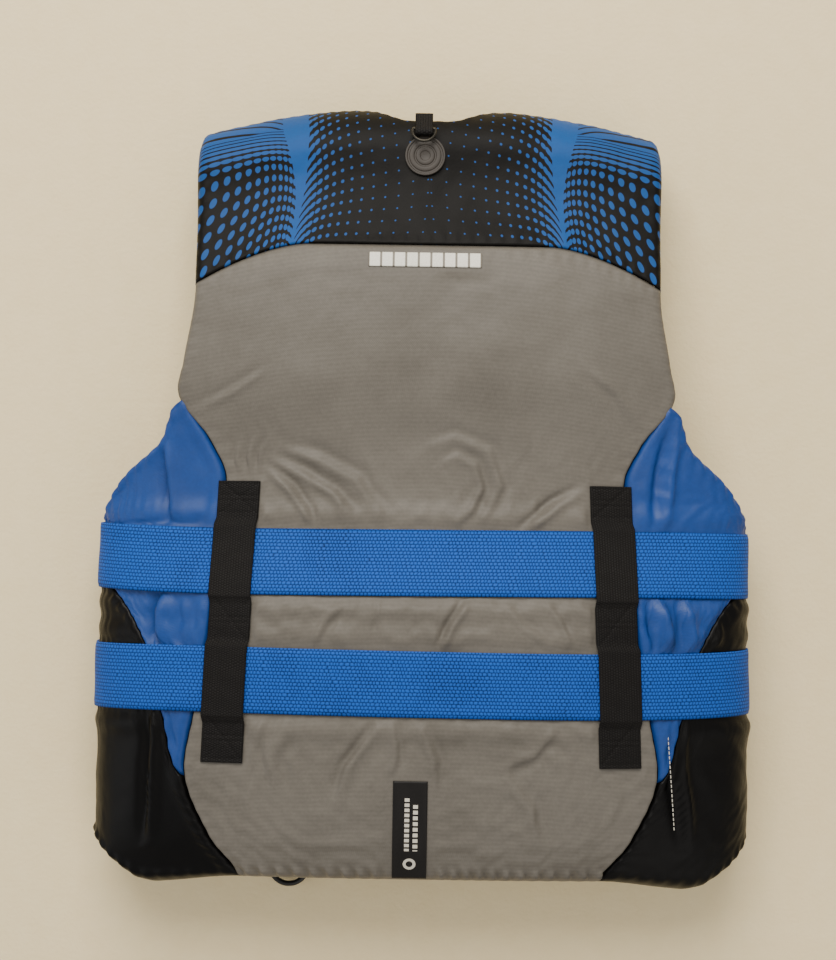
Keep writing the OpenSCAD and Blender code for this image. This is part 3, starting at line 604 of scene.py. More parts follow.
def printed_nylon():
    """The same nylon, printed by sublimation with blue dots on black. The dots stand on a grid
    that is drawn together at a line down each shoulder, where they run into one another."""
    made, tree, shader = new_material("printed coated nylon", 0.55, gloss=0.14)
    calc = calculator(tree)
    flat = flat_place(tree)
    x = calc("MULTIPLY", calc("ABSOLUTE", flat[0]), 1000)
    y = calc("MULTIPLY", flat[1], 1000)
    line = calc("MULTIPLY_ADD", calc("SINE", calc("MULTIPLY", y, 0.045)), 3.0, 103.0)
    off = calc("SUBTRACT", x, line)
    away = calc("ABSOLUTE", off)
    outside = calc("GREATER_THAN", off, 0.0)
    column = calc("MULTIPLY", calc("SQRT", away), 1.66)
    high = calc("MULTIPLY", calc("SUBTRACT", y, 190.0), 0.0105, clamp=True)
    top = calc("MULTIPLY", calc("SUBTRACT", calc("MULTIPLY_ADD", x, 0.25, y), 285.0), 0.03, clamp=True)
    # the rows bend down along the line, and the more so the higher they are
    reach = calc("MULTIPLY_ADD", high, -9.0, -6.5)
    pull = calc("MULTIPLY", calc("EXPONENT", calc("DIVIDE", away, reach)), 3.4)
    pitch_in = calc("MULTIPLY_ADD", away, 0.026, 8.0)
    row_in = calc("ADD", calc("DIVIDE", calc("SUBTRACT", y, 190.0), pitch_in), pull)
    pitch_out = calc("MULTIPLY_ADD", away, 0.09, 7.6)
    row_out = calc("ADD", calc("DIVIDE", calc("SUBTRACT", y, 315.0), pitch_out), pull)
    row_out = calc("MULTIPLY_ADD", calc("MULTIPLY", top, top), 4.5, row_out)
    row = add(tree, MIX, {0: outside, 2: row_in, 3: row_out})
    near_line = calc("EXPONENT", calc("DIVIDE", away, -17.0))
    # near the line, and at the top of the shoulders, the dots run together into thin arcs
    apart_in = calc("SUBTRACT", 1.0, calc("EXPONENT", calc("DIVIDE", away, calc("SUBTRACT", reach, 5.0))))
    apart_out = calc("MULTIPLY", calc("SUBTRACT", 1.0, calc("EXPONENT", calc("DIVIDE", away, -5.0))),
                     calc("SUBTRACT", 1.0, top))
    apart = add(tree, MIX, {0: outside, 2: apart_in, 3: apart_out})
    across = calc("MULTIPLY", calc("SUBTRACT", calc("FRACT", column), 0.5), apart)
    down = calc("SUBTRACT", calc("FRACT", row), 0.5)
    far = calc("SQRT", calc("ADD", calc("MULTIPLY", across, across), calc("MULTIPLY", down, down)))
    fade = calc("EXPONENT", calc("DIVIDE", away, -30.0))
    size_in = calc("MULTIPLY_ADD", fade, 0.36, 0.06)
    size_out = add(tree, MIX, {0: top, 2: calc("MULTIPLY_ADD", near_line, 0.08, 0.30), 3: 0.40})
    size = add(tree, MIX, {0: outside, 2: size_in, 3: size_out})
    stem = calc("MULTIPLY_ADD", calc("MULTIPLY", high, high), 9.0, 1.2)
    solid = calc("LESS_THAN", away, stem)
    edge = calc("MULTIPLY", calc("SUBTRACT", size, far), 22.0, clamp=True)
    ink = calc("MAXIMUM", edge, solid)
    place = add(tree, "ShaderNodeTexCoord", out=3)
    cloud = texture(tree, place, 18, 4)
    grain = texture(tree, place, 420, 3)
    blue = between_colours(tree, cloud, "17529a", "1d4a80")
    black = between_colours(tree, cloud, "070605", "0d0b09")
    worn = add(tree, RANGE, {0: grain, 1: 0.3, 2: 0.8, 3: 0.0, 4: 0.1})
    base = between_colours(tree, worn, between_colours(tree, ink, black, blue), "201e1a")
    connect(tree, shader, base, grain, 0.35, 0.25)
    return made


def grained(name, face, shade, rough, ior, scale, depth, metallic=0.0):
    """A moulded, cast or drawn surface: an even colour with the fine grain of its mould or finish."""
    made, tree, shader = new_material(name, rough, ior=ior, metallic=metallic)
    place = add(tree, "ShaderNodeTexCoord", out=3)
    grain = texture(tree, place, scale, 4)
    cloud = texture(tree, place, 60, 4)
    connect(tree, shader, between_colours(tree, cloud, face, shade), grain, 0.4, depth)
    return made


GREY = coated_nylon("grey coated nylon", "6c675f", "423d35", rib=0.05, gloss=0.25)
BLUE = coated_nylon("blue coated nylon", "14428a", "0b2757", rough=0.44, soil=0.3, gloss=0.32)
BLACK = coated_nylon("black coated nylon", "060505", "030303", rough=0.36, gloss=0.13)
PRINT = printed_nylon()
LINING = coated_nylon("mesh lining", "161618", "08080a", weave=3.0, rough=0.8)
BLUE_WEBBING = webbing("blue polypropylene webbing", "165abb", "061f4a", 2.7, 2.9, 0.9, gloss=0.16)
BLACK_WEBBING = webbing("black polypropylene webbing", "110e0c", "050404", 2.0, 1.9, 0.8, gloss=0.2)
ELASTIC = webbing("woven elastic", "131212", "060606", 1.2, 2.4, 0.7)
TAPE = webbing("zip tape", "131314", "070708", 1.1, 1.1, 0.6)
FOAM = grained("closed-cell foam", "d8c25c", "c4ab45", 0.85, 1.4, 500, 0.3)
ACETAL = grained("moulded acetal", "0d0d0d", "141414", 0.38, 1.48, 900, 0.06)
RUBBER = grained("moulded rubber", "2e251b", "201a13", 0.55, 1.52, 600, 0.1)
RING = grained("blackened steel wire", "2a2824", "48443c", 0.35, 1.5, 500, 0.05, metallic=0.8)
SLIDER = grained("lacquered zinc", "26262a", "3a3a3e", 0.35, 1.5, 500, 0.05, metallic=0.6)
THREAD = grained("light sewing thread", "e0dbcf", "c9c2b2", 0.7, 1.5, 900, 0.1)


def finish_piece(obj, material, slot_name, nodes, body=BODY):
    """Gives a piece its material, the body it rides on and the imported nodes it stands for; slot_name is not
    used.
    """
    obj.data.materials.clear()
    obj.data.materials.append(material)
    if body:
        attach(obj, body)
    if nodes:
        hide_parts(*nodes)
    return obj


# ---------- what presses and creases the cloth ----------
def keeper_x(y):
    """The middle of a back keeper: it leans inwards towards the shoulders."""
    return mix(KEEPER_LOW_X, KEEPER_TOP_X, (y - KEEPER_LOW) / (KEEPER_HIGH - KEEPER_LOW))


def free_cloth(X, Y, keepers=True):
    """0 under a belt or a keeper, 1 where nothing lies on the cloth."""
    held = 0
    for y in (UPPER_BELT, LOWER_BELT):
        held = np.maximum(held, ease((BELT_WIDTH / 2 + 6 - np.abs(Y - y)) / 6))
    if keepers:
        beside = ease((KEEPER_WIDTH / 2 + 5 - np.abs(np.abs(X) - keeper_x(Y))) / 5)
        within = ease((Y - KEEPER_LOW + 4) / 4) * ease((KEEPER_HIGH + 4 - Y) / 4)
        held = np.maximum(held, beside * within)
    return 1 - held


def clear_of_trims(X, Y):
    """0 under the hem label and the reflective print, which lie flat on the cloth, and 1 beside them."""
    under = 0
    for x, y, half_w, half_h in ((LABEL_X, LABEL_LOW + LABEL_LENGTH / 2, LABEL_WIDTH / 2, LABEL_LENGTH / 2),
                                 (PRINT_X, PRINT_LOW + PRINT_LENGTH / 2, PRINT_WIDTH / 2, 6)):
        beside = ease((half_w + 10 - np.abs(X - x)) / 8)
        under = np.maximum(under, beside * ease((half_h + 10 - np.abs(Y - y)) / 8))
    return 1 - under


def belt_swell(Y):
    """The padding swells beside a belt that is pulled tight."""
    swell = 0
    for y in (UPPER_BELT, LOWER_BELT):
        swell = swell + 2.4 * np.exp(-((np.abs(Y - y) - 36) / 8) ** 2)
    return swell


# Each crease is its line's points, its width and its height, in millimetres
BACK_CREASES = [
    ([(118, 13), (98, 2), (69, -22)], 4.5, -2.6),
    ([(32, -70), (18, -92), (9, -113)], 3.5, -2.4),
    ([(-36, -73), (-35, -112)], 1.5, -1.0),
    ([(-122, 22), (-104, 8), (-92, -8), (-84, -22)], 4.0, 2.2),
    ([(-118, 30), (-94, 18), (-70, 4), (-52, -14)], 5.0, 2.0),
    ([(-112, 38), (-82, 30), (-52, 14), (-34, -10)], 6.0, 1.6),
    ([(-134, 20), (-136, 32), (-132, 46)], 2.0, 1.2),
    ([(-142, 19), (-145, 30), (-143, 42)], 2.0, 1.2),
    ([(-150, 18), (-153, 28), (-152, 38)], 2.0, 1.1),
    ([(-127, 20), (-127, 34), (-120, 46)], 2.2, 1.3),
    ([(12, 28), (24, 34), (38, 27), (43, 10), (34, -8), (20, -19)], 4.0, 1.3),
    ([(0, 40), (22, 48), (48, 38), (57, 12), (44, -16)], 5.0, 1.1),
    ([(-34, -165), (-46, -180), (-60, -200), (-66, -222)], 4.5, -2.2),
    ([(-22, -165), (-19, -192), (-24, -215)], 4.0, 1.6),
    ([(0, -168), (10, -196), (8, -226)], 5.0, 1.4),
    ([(62, -204), (82, -232), (90, -262)], 7.0, 1.8),
    ([(100, -170), (84, -190), (60, -200)], 5.0, 1.4),
    ([(-100, -170), (-112, -196), (-108, -226)], 6.0, 1.6),
    ([(-120, -168), (-126, -190), (-122, -210)], 3.0, 1.4),
    ([(-174, 68), (-152, 78), (-122, 97)], 4.0, 1.2),
    ([(-60, -78), (-74, -92), (-82, -110)], 4.0, 1.4),
    ([(60, -76), (74, -94), (96, -108)], 4.5, 1.4),
    ([(92, -76), (104, -92), (110, -110)], 3.0, 1.2),
    ([(160, 60), (146, 84), (120, 104)], 5.0, 1.0),
]


def back_relief(X, Y):
    total = ripples(X, Y, 52, 3.1) * 1.6 + ripples(X, Y, 17, 8.4) * 0.2
    for points, width, height in BACK_CREASES:
        total = total + crease(X, Y, points, 0.7 * width, 1.7 * height)
    return (total * clear_of_trims(X, Y) + belt_swell(Y)) * free_cloth(X, Y)


SIDE_CREASES = {
    -1: [([(-206, 44), (-201, 10), (-196, -24)], 5.0, -4.5),
         ([(-203, -70), (-206, -92), (-204, -114)], 5.0, -7.0),
         ([(-192, -72), (-190, -92), (-193, -114)], 3.0, 1.8),
         ([(-208, -162), (-211, -200), (-214, -262)], 5.0, -4.0),
         ([(-180, -72), (-178, -112)], 4.0, 1.0),
         ([(-186, -206), (-172, -236), (-148, -262)], 3.0, -2.4)],
    1: [([(188, 60), (181, 26), (175, -22)], 5.0, -4.5),
        ([(170, -70), (174, -92), (179, -114)], 4.0, -7.0),
        ([(179, -70), (184, -92), (190, -114)], 3.0, 3.6),
        ([(190, -70), (196, -90), (199, -114)], 4.0, -4.0),
        ([(190, -162), (192, -200), (200, -262)], 5.0, -4.2),
        ([(226, -70), (224, -112)], 5.0, 1.2),
        ([(172, -162), (176, -184), (180, -206)], 3.0, 2.0)],
}


def side_relief(side):
    def relief(X, Y):
        total = ripples(X, Y, 38, 5.2 + side) * 1.3 + ripples(X, Y, 14, 2.4 + side) * 0.3
        for points, width, height in SIDE_CREASES[side]:
            total = total + crease(X, Y, points, 0.75 * width, 1.4 * height)
        return (total + belt_swell(Y)) * free_cloth(X, Y)
    return relief


# ---------- the outer cloth ----------
def yoke_seam(x):
    """Where the yoke meets the back: level in the middle and falling towards the armholes."""
    out = np.maximum(0, (np.abs(x) / SHOULDER_HALF - 0.52) / 0.48)
    return HALF_LENGTH * (0.637 - 0.107 * out ** 1.6)


def rim_room(y, d=0):
    """More width at the armholes, where the rounded edge and its wall go straight down."""
    return ease((y - 44) / 40) * (7 + 0.5 * d)


def back_place(u, v, d):
    side = 2 * u - 1
    y = mix(-0.945 * HALF_LENGTH, yoke_seam(side * SHOULDER_HALF), v)
    return over(side * (back_seam(y) + rim_room(y, d)), y, d)


def neck_w(x):
    """The yoke's upper edge: the neckline in the middle and the shoulder seam beside it."""
    return fold_w(x, 0.28 + 0.22 * ease((np.abs(x) / NECK_HALF - 0.25) / 0.75))


def yoke_xw(u, v, d=0):
    side = 2 * u - 1
    low = yoke_seam(side * SHOULDER_HALF)
    x = side * (mix(back_seam(low), SHOULDER_HALF, v) + rim_room(low, d))
    return x, mix(low, neck_w(x), v)


def yoke_place(u, v, d):
    x, w = yoke_xw(u, v, d)
    return over(x, w, d)


def side_place(low, high):
    """A panel that goes round the side, from the back seam to the front seam."""
    def at(u, v, d):
        y = mix(HALF_LENGTH * curve(low, u), HALF_LENGTH * curve(high, u), v)
        return around(mix(back_t(back_seam(y) + 0.4, y), front_t(front_seam(y) + 0.4, y), u), y, d)
    return at


def strap_xw(u, v):
    y = mix(HALF_LENGTH, 0.5 * HALF_LENGTH, v)
    outer = mix(SHOULDER_HALF + 7, front_seam(0.49 * HALF_LENGTH), ease(v * 1.4 - 0.4))
    x = mix(neckline(y), outer, u)
    return x, mix(fold_w(x, 0.502), fold_w(x, 1) + fold_y(x) - 0.495 * HALF_LENGTH, v)


def strap_place(u, v, d):
    x, w = strap_xw(u, v)
    return over(x, w, d)


def front_place(u, v, d):
    y = mix(-0.935 * HALF_LENGTH, 0.493 * HALF_LENGTH, v)
    x = mix(neckline(y), front_seam(y), u)
    return around(front_t(x, y), y, d)


def armhole_edge(seam, rim, start, length):
    """A radius that grows from a seam's to an open edge's above y = start."""
    return lambda X, Y: mix(seam, rim, ease((Y - start) / length))


def neck_edge(X, Y):
    """Round at the neckline, and flat at the seam over the shoulders."""
    return mix(6, 1.5, ease((np.abs(X) - NECK_HALF + 8) / 12))


def held_by_belts(points):
    return 1 - free_cloth(points[..., 0], points[..., 1] - SEAT)


def outer_cloth():
    """The sewn outer panels. The sides are mirrored, but each has its own creases."""
    edge = armhole_edge(2.4, 8.0, 60, 24)
    moved = 0.6 * loose_cloth("back", back_place, held_by_belts, 0.012, 4.0)
    piece = panel("back_cloth", back_place, 170, 200, (edge, edge, 8, 2.2), (33, 33, 28, 0),
                  back_relief, moved, pucker=(0.4, 0.4, 2.6, 0.3))
    finish_piece(piece, GREY, "grey_nylon", ["back_shell"])
    piece = panel("yoke_cloth", yoke_place, 170, 90, (7, 7, 2.2, neck_edge), (14, 14, 0, 10),
                  lambda X, Y: ripples(X, Y, 50, 7.7) * 1.3 + ripples(X, Y, 18, 1.9) * 0.4,
                  coords=yoke_xw)
    finish_piece(piece, PRINT, "printed_nylon", ["back_yoke"])
    for side, word in ((-1, "left"), (1, "right")):
        flip = side < 0
        place = mirrored(side_place(SIDE_LOW, SIDE_TOP), side)
        moved = 0.7 * loose_cloth("side_" + word, place, held_by_belts, 0.014, 6.0 + side)
        piece = panel("side_cloth_" + word, place, 120, 80, (2.2, 2.2, 1.6, 8), (0, 0, 0, 23),
                      side_relief(side), moved, flip=flip, pucker=(0.5, 0.5, 0.8, 0.8))
        finish_piece(piece, BLUE, "blue_nylon", ["side_panel_" + word])
        place = mirrored(side_place(CORNER_HEM, SIDE_LOW), side)
        moved = 0.35 * loose_cloth("corner_" + word, place, held_by_belts, 0.014, 9.0 + side)
        piece = panel("corner_cloth_" + word, place, 120, 90, (2.2, 2.2, 9, 1.6), (0, 0, 16, 0),
                      side_relief(side), moved, flip=flip, pucker=(0.5, 0.5, 0.8, 0.8))
        finish_piece(piece, BLACK, "black_nylon", ["corner_panel_" + word])
        piece = panel("strap_cloth_" + word, mirrored(strap_place, side), 60, 70,
                      (6, 8, 1.5, 3), (12, 14, 0, 0),
                      lambda X, Y: ripples(X, Y, 40, 2.2 + side) * 0.8, flip=flip,
                      coords=strap_xw)
        finish_piece(piece, PRINT, "printed_nylon", ["strap_cover_" + word])
        edge = armhole_edge(2.2, 8.0, 22, 20)
        piece = panel("front_cloth_" + word, mirrored(front_place, side), 110, 170,
                      (2, edge, 8, 3), (10, 31, 26, 0),
                      lambda X, Y: (ripples(X, Y, 44, 4.4 + side) * 0.9 - 1.0) * free_cloth(X, Y, False),
                      flip=not flip)
        finish_piece(piece, GREY, "grey_nylon", ["front_shell_" + word])


outer_cloth()


# ---------- linings and foam ----------
def lining_depth(y, full, thin):
    """The lining comes nearer to the outer cloth towards the shoulders, where the foam is thin."""
    return mix(full, thin, ease((y / HALF_LENGTH - 0.5) / 0.3))


def linings():
    """The dark inner cloth, which closes the vest from the inside."""
    def back(u, v, d):
        y = mix(-0.94 * HALF_LENGTH, HALF_LENGTH, v)
        x = (2 * u - 1) * np.minimum(back_seam(y) + 6, SHOULDER_HALF - 3)
        w = np.minimum(y, mix(y, neck_w(x) - 4, ease((v - 0.6) / 0.4)))
        return over(x, w, d + lining_depth(w, LINING_DEPTH, STRAP_DEPTH + 3))
    piece = panel("back_lining_cloth", back, 60, 90, (0, 0, 0, 0), pucker=PLAIN, flip=True)
    finish_piece(piece, LINING, "lining", ["back_lining"])
    for side, word in ((-1, "left"), (1, "right")):
        def front(u, v, d):
            y = mix(-0.93 * HALF_LENGTH, 0.49 * HALF_LENGTH, v)
            x = mix(neckline(y) + 2, front_seam(y), u)
            deep = mix(LINING_DEPTH + 1.5, 20, ease((v - 0.9) / 0.1))
            points = around(front_t(x, y), y, 0)
            points[..., 2] = np.maximum(deep + d, points[..., 2] + 3)
            return points
        piece = panel("front_lining_cloth_" + word, mirrored(front, side), 30, 60, (0, 0, 0, 0),
                      pucker=PLAIN, flip=side < 0)
        finish_piece(piece, LINING, "lining", ["front_lining_" + word])
        inner = side_place([(a, b + 0.01) for a, b in CORNER_HEM], [(a, b - 0.01) for a, b in SIDE_TOP])
        piece = panel("side_lining_cloth_" + word,
                      mirrored(lambda u, v, d: inner(u, v, d + SIDE_DEPTH), side), 50, 40,
                      (0, 0, 0, 0), pucker=PLAIN, flip=side > 0)
        finish_piece(piece, LINING, "lining", [])


def slab(name, place, outer, inner, nodes):
    """A sheet of foam with round edges, between two depths under the cloth."""
    count = 28
    U, V = np.meshgrid(np.linspace(0, 1, count), np.linspace(0, 1, count))
    rim = np.minimum.reduce([U, 1 - U, V, 1 - V]) * count
    pinch = (outer - inner) / 2 * (1 - np.sqrt(np.clip(rim / 2.5, 0, 1)))
    faces = []
    points = []
    for k, depth in enumerate((outer - pinch, inner + pinch)):
        faces += [[i + k * count * count for i in f] for f in grid_faces(count, count, k == 1)]
        points.append(place(U, V, depth).reshape(-1, 3))
    obj = make_piece(name, np.concatenate(points), faces)
    bm = bmesh.new()
    bm.from_mesh(obj.data)
    bmesh.ops.remove_doubles(bm, verts=bm.verts, dist=0.05 * MM)
    bmesh.ops.recalc_face_normals(bm, faces=bm.faces)
    bm.to_mesh(obj.data)
    bm.free()
    finish_piece(obj, FOAM, "foam", nodes)


def foam():
    """The slabs of foam between the outer cloth and the linings."""
    def back(low, high, narrow):
        def at(u, v, d):
            y = mix(low, high, v) * HALF_LENGTH
            return over((2 * u - 1) * (np.minimum(back_seam(y), SHOULDER_HALF) - narrow), y, d)
        return at
    slab("back_foam_high", back(0.0, 0.6, 26), 9, 30, ["back_foam_upper"])
    slab("back_foam_low", back(-0.88, -0.05, 12), 9, 31, ["back_foam_lower"])
    for side, word in ((-1, "left"), (1, "right")):
        def beside(u, v, d):
            y = mix(-0.82, -0.2, v) * HALF_LENGTH
            return around(mix(back_t(206, y), front_t(206, y), u), y, d)
        slab("side_foam_" + word + "_pad", mirrored(beside, side), 9, 21, ["side_foam_" + word])
        for part, low, high in (("front_foam_", -0.86, 0.0), ("chest_foam_", 0.06, 0.42)):
            def before(u, v, d):
                y = mix(low, high, v) * HALF_LENGTH
                x = mix(neckline(y) + 16, front_seam(y) - 24, u)
                points = around(front_t(x - 10, y), y, 0)
                deep = (d - 9) / 20
                return np.stack([x, points[..., 1], mix(points[..., 2] + 8, 31, deep)], -1)
            slab(part + word + "_pad", mirrored(before, side), 9, 29, [part + word])

        def shoulder(u, v, d):
            x = mix(NECK_HALF + 20, SHOULDER_HALF - 14, u)
            return over(x, mix(0.72 * HALF_LENGTH, fold_w(x, 1) + 60, v), d)
        slab("strap_foam_" + word + "_pad", mirrored(shoulder, side), 8, 13, ["strap_foam_" + word])


linings()
foam()


# ---------- belts and keepers ----------
BELT_OUT = 2.4             # outer face of a belt above the cloth
BELT_LEVEL, TAIL_LEVEL, BAR_LEVEL = 5.9, 3.7, 6.6   # heights of the webbing and of the buckles' bars
PLUG_BAR, SOCKET_BAR = -36.5, 37.0                  # the bars' places along the belt
BAR_TURN = 2.55            # radius of the webbing's turn round a bar
LOOSE_X = 112.0            # where a belt's own end starts that moves with its plug
TAIL_KEEPER_X, TAIL_KEEPER_WIDTH = 130.0, 18.0
KEEPER_GAP = 0.8           # a back keeper above the cloth
KEEPER_RISE = 2.4          # and how much higher it is over a belt
FRONT_KEEPER_X, FRONT_KEEPER_Y, FRONT_KEEPER_LEVEL = (154, 186), (-177, -8), 3.2


def strip(name, place, cols, rows, look, nodes, thick, radius=0.6, relief=None,
          flip=False, body=BODY):
    """A band of webbing: a narrow panel with rounded selvedges."""
    material, slot_name = look
    piece = panel(name, place, cols, rows, (0, 0, radius, radius), relief=relief, thick=thick,
                  flip=flip, pucker=PLAIN, calm=0)
    finish_piece(piece, material, slot_name, nodes, body)
    return piece


def along_path(path, width, thick):
    """A band that follows a line of points (a, b), seen along the band's width. The place it gives
    back is the point's a, the distance across the band, and the point's b."""
    line = np.array(path, float)
    for _ in range(3):
        line[1:-1] = (line[:-2] + 2 * line[1:-1] + line[2:]) / 4
    run = np.concatenate([[0], np.cumsum(np.linalg.norm(np.diff(line, axis=0), axis=1))])
    slope = np.gradient(line, axis=0)
    slope /= np.linalg.norm(slope, axis=1, keepdims=True)

    def at(u, v, d):
        a, b, sa, sb = (np.interp(u, run / run[-1], c) for c in (*line.T, *slope.T))
        out = thick / 2 - d
        return a + sb * out, (v - 0.5) * width, b - sa * out
    return at


def dense(points, step):
    """The same line with points no further apart than step."""
    out = []
    for a, b in zip(points[:-1], points[1:]):
        count = max(1, int(math.dist(a, b) / step))
        out += [(mix(a[0], b[0], k / count), mix(a[1], b[1], k / count)) for k in range(count)]
    return out + [points[-1]]


def bar_turn(mid, bar_x, way, far, back):
    """Webbing that comes in to a buckle's bar, goes round it and comes out again below."""
    r = BAR_TURN
    arc = [(r * math.cos(math.radians(a)), r * math.sin(math.radians(a))) for a in range(90, 271, 20)]
    path = dense([(far, BELT_LEVEL - BAR_LEVEL), (13, BELT_LEVEL - BAR_LEVEL), (7, r)], 2.5) + arc
    path += dense([(7, -r), (13, TAIL_LEVEL - BAR_LEVEL), (back, TAIL_LEVEL - BAR_LEVEL)], 2.5)
    band = along_path(path, BELT_WIDTH, BELT_THICK)

    def at(u, v, d):
        x, y, z = band(u, v, d)
        return np.stack(np.broadcast_arrays(bar_x + way * x, mid + y + SEAT, BAR_LEVEL + z), -1)
    return at


def keeper_lift(y):
    """How far a back keeper stands off the cloth as it passes over the belts."""
    lift = 0
    for belt in (UPPER_BELT, LOWER_BELT):
        reach = BELT_WIDTH / 2 + 8
        lift = np.maximum(lift, ease((y - belt + reach) / 7) * ease((belt + reach - y) / 7))
    return KEEPER_GAP + KEEPER_RISE * lift


STITCHED = [(-12, 12), (-109, -75), (-198, -165)]   # from and to, along a back keeper


def keeper_stitches(X, Y):
    """Bar tacks: rows of small dents in the parts of a keeper that are sewn down."""
    total = 0
    for low, high in STITCHED:
        inside = ease((Y - low) / 2) * ease((high - Y) / 2)
        middle = (low + high) / 2
        slant = np.abs(np.abs(Y - middle) - np.abs(np.abs(X) - keeper_x(Y)) * (high - low) / 28)
        rows = np.sin(Y * 2 * math.pi / 2.6) * np.sin(X * 2 * math.pi / 2.1 + np.sin(Y * 1.7))
        total = total + inside * (0.22 * rows - 0.45 * np.exp(-(slant / 1.3) ** 2))
        for edge in (low + 1, high - 1, middle - 2, middle + 2):
            total = total - 0.4 * np.exp(-((Y - edge) / 0.9) ** 2)
    return total + 0.12 * np.sin(Y * 0.35 + X * 0.1)


def belts():
    """Each belt with its moving end, its tail and the tail's keeper, and the four belt keepers."""
    blue = (BLUE_WEBBING, "blue_webbing")
    black = (BLACK_WEBBING, "black_webbing")
    for word, mid in (("upper", UPPER_BELT), ("lower", LOWER_BELT)):
        def band(u, v, d):
            y = mid + (v - 0.5) * BELT_WIDTH + 0.8 * np.sin(u * 19 + mid)
            t = mix(-front_t(LOOSE_X + 0.3, y), front_t(SOCKET_BAR + 16, y), u)
            points = around(np.abs(t), y, d - BELT_OUT, True)
            points[..., 0] *= np.where(t < 0, -1, 1)
            return points

        def wave(X, Y):
            return 0.35 * np.sin(X / 23 + mid) * np.sin((Y - mid) / 9)
        strip(word + "_belt_webbing", band, 300, 14, blue, [word + "_belt"], BELT_THICK,
              relief=wave)
        end = strip(word + "_belt_end_webbing", bar_turn(mid, PLUG_BAR, -1, LOOSE_X + PLUG_BAR, 27), 90, 10,
                    blue, [word + "_belt_end"], BELT_THICK, flip=True,
                    body=None)
        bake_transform(end)
        strip(word + "_belt_tail_webbing", bar_turn(mid, SOCKET_BAR, 1, 15.7, 104), 90, 10, blue,
              [word + "_belt_tail"], BELT_THICK)
        corners = [(s * 25.8, c * 2.22) for s, c in ((0, 1), (1, 1), (1, -1), (-1, -1), (-1, 1), (0, 1))]
        ring = along_path(dense(corners, 1.5), TAIL_KEEPER_WIDTH, 0.4)

        def loop(u, v, d):
            y, x, z = ring(u, v, d)
            return np.stack(np.broadcast_arrays(TAIL_KEEPER_X + x, mid + SEAT + y, 4.8 + z), -1)
        strip(word + "_tail_keeper_elastic", loop, 90, 8, (ELASTIC, "elastic"),
              [word + "_tail_keeper"], 0.35, radius=0)
    for side, word in ((-1, "left"), (1, "right")):
        def behind(u, v, d):
            y = mix(KEEPER_LOW, KEEPER_HIGH, u)
            x = keeper_x(y) - (v - 0.5) * KEEPER_WIDTH
            return over(x, y, d - keeper_lift(y) - 1.4)
        strip("back_keeper_webbing_" + word, mirrored(behind, side), 230, 34, black,
              ["back_keeper_" + word], 1.3, relief=keeper_stitches, flip=side < 0)

        def before(u, v, d):
            x, y = mix(FRONT_KEEPER_X[1], FRONT_KEEPER_X[0], v), mix(*FRONT_KEEPER_Y, u)
            points = (x + 0 * u, y + SEAT, FRONT_KEEPER_LEVEL + d)
            return np.stack(np.broadcast_arrays(*points), -1)
        strip("front_keeper_webbing_" + word, mirrored(before, side), 120, 20, black,
              ["front_keeper_" + word], 1.3, flip=side > 0)


# ---------- label, print, badge, loops and rings ----------
def hem_label_material():
    """Dark satin label with plain light bars woven along it and a plain ring below them."""
    made, tree, shader = new_material("woven label", 0.5, gloss=0.25)
    calc = calculator(tree)
    flat = flat_place(tree)

    def between(value, low, high):
        return calc("MULTIPLY", calc("GREATER_THAN", value, low), calc("LESS_THAN", value, high))

    x, y = calc("MULTIPLY", flat[0], 1000), calc("MULTIPLY", flat[1], 1000)
    ink = 0.0
    for low, high, start, end, pitch in ((9.0, 12.6, 24, 66, 3.9), (15.4, 19.0, 24, 60, 4.4)):
        bar = calc("MULTIPLY", between(x, low, high), between(y, start, end))
        gap = calc("LESS_THAN", calc("FRACT", calc("DIVIDE", y, pitch)), 0.66)
        ink = calc("MAXIMUM", calc("MULTIPLY", bar, gap), ink)
    square_x, square_y = (calc("POWER", calc("ABSOLUTE", calc("SUBTRACT", v, 13.0)), 2.0) for v in (x, y))
    far = calc("SQRT", calc("ADD", square_x, square_y))
    ink = calc("MAXIMUM", between(far, 2.6, 4.8), ink)
    grain = texture(tree, add(tree, "ShaderNodeTexCoord", out=3), 800)
    dark = between_colours(tree, grain, "0b0908", "171412")
    connect(tree, shader, between_colours(tree, ink, dark, "cfc9ba"), grain, 0.3, 0.1)
    return made


BLOCKS, BLOCK_SHARE = 9, 0.82   # blocks in the reflective print, and how much of its pitch each takes


def reflective_material():
    """Light reflective print in nine equal blocks, with the grey cloth between them."""
    made, tree, shader = new_material("reflective print", 0.55)
    calc = calculator(tree)
    share = calc("FRACT", calc("MULTIPLY", flat_place(tree)[0], BLOCKS / (PRINT_WIDTH * MM)))
    ink = calc("LESS_THAN", calc("ABSOLUTE", calc("SUBTRACT", share, 0.5)), BLOCK_SHARE / 2)
    grain = texture(tree, add(tree, "ShaderNodeTexCoord", out=3), 900)
    light = between_colours(tree, grain, "fffdf2", "d8d2c2")
    tree.links.new(between_colours(tree, ink, "797265", light), shader.inputs["Base Color"])
    return made


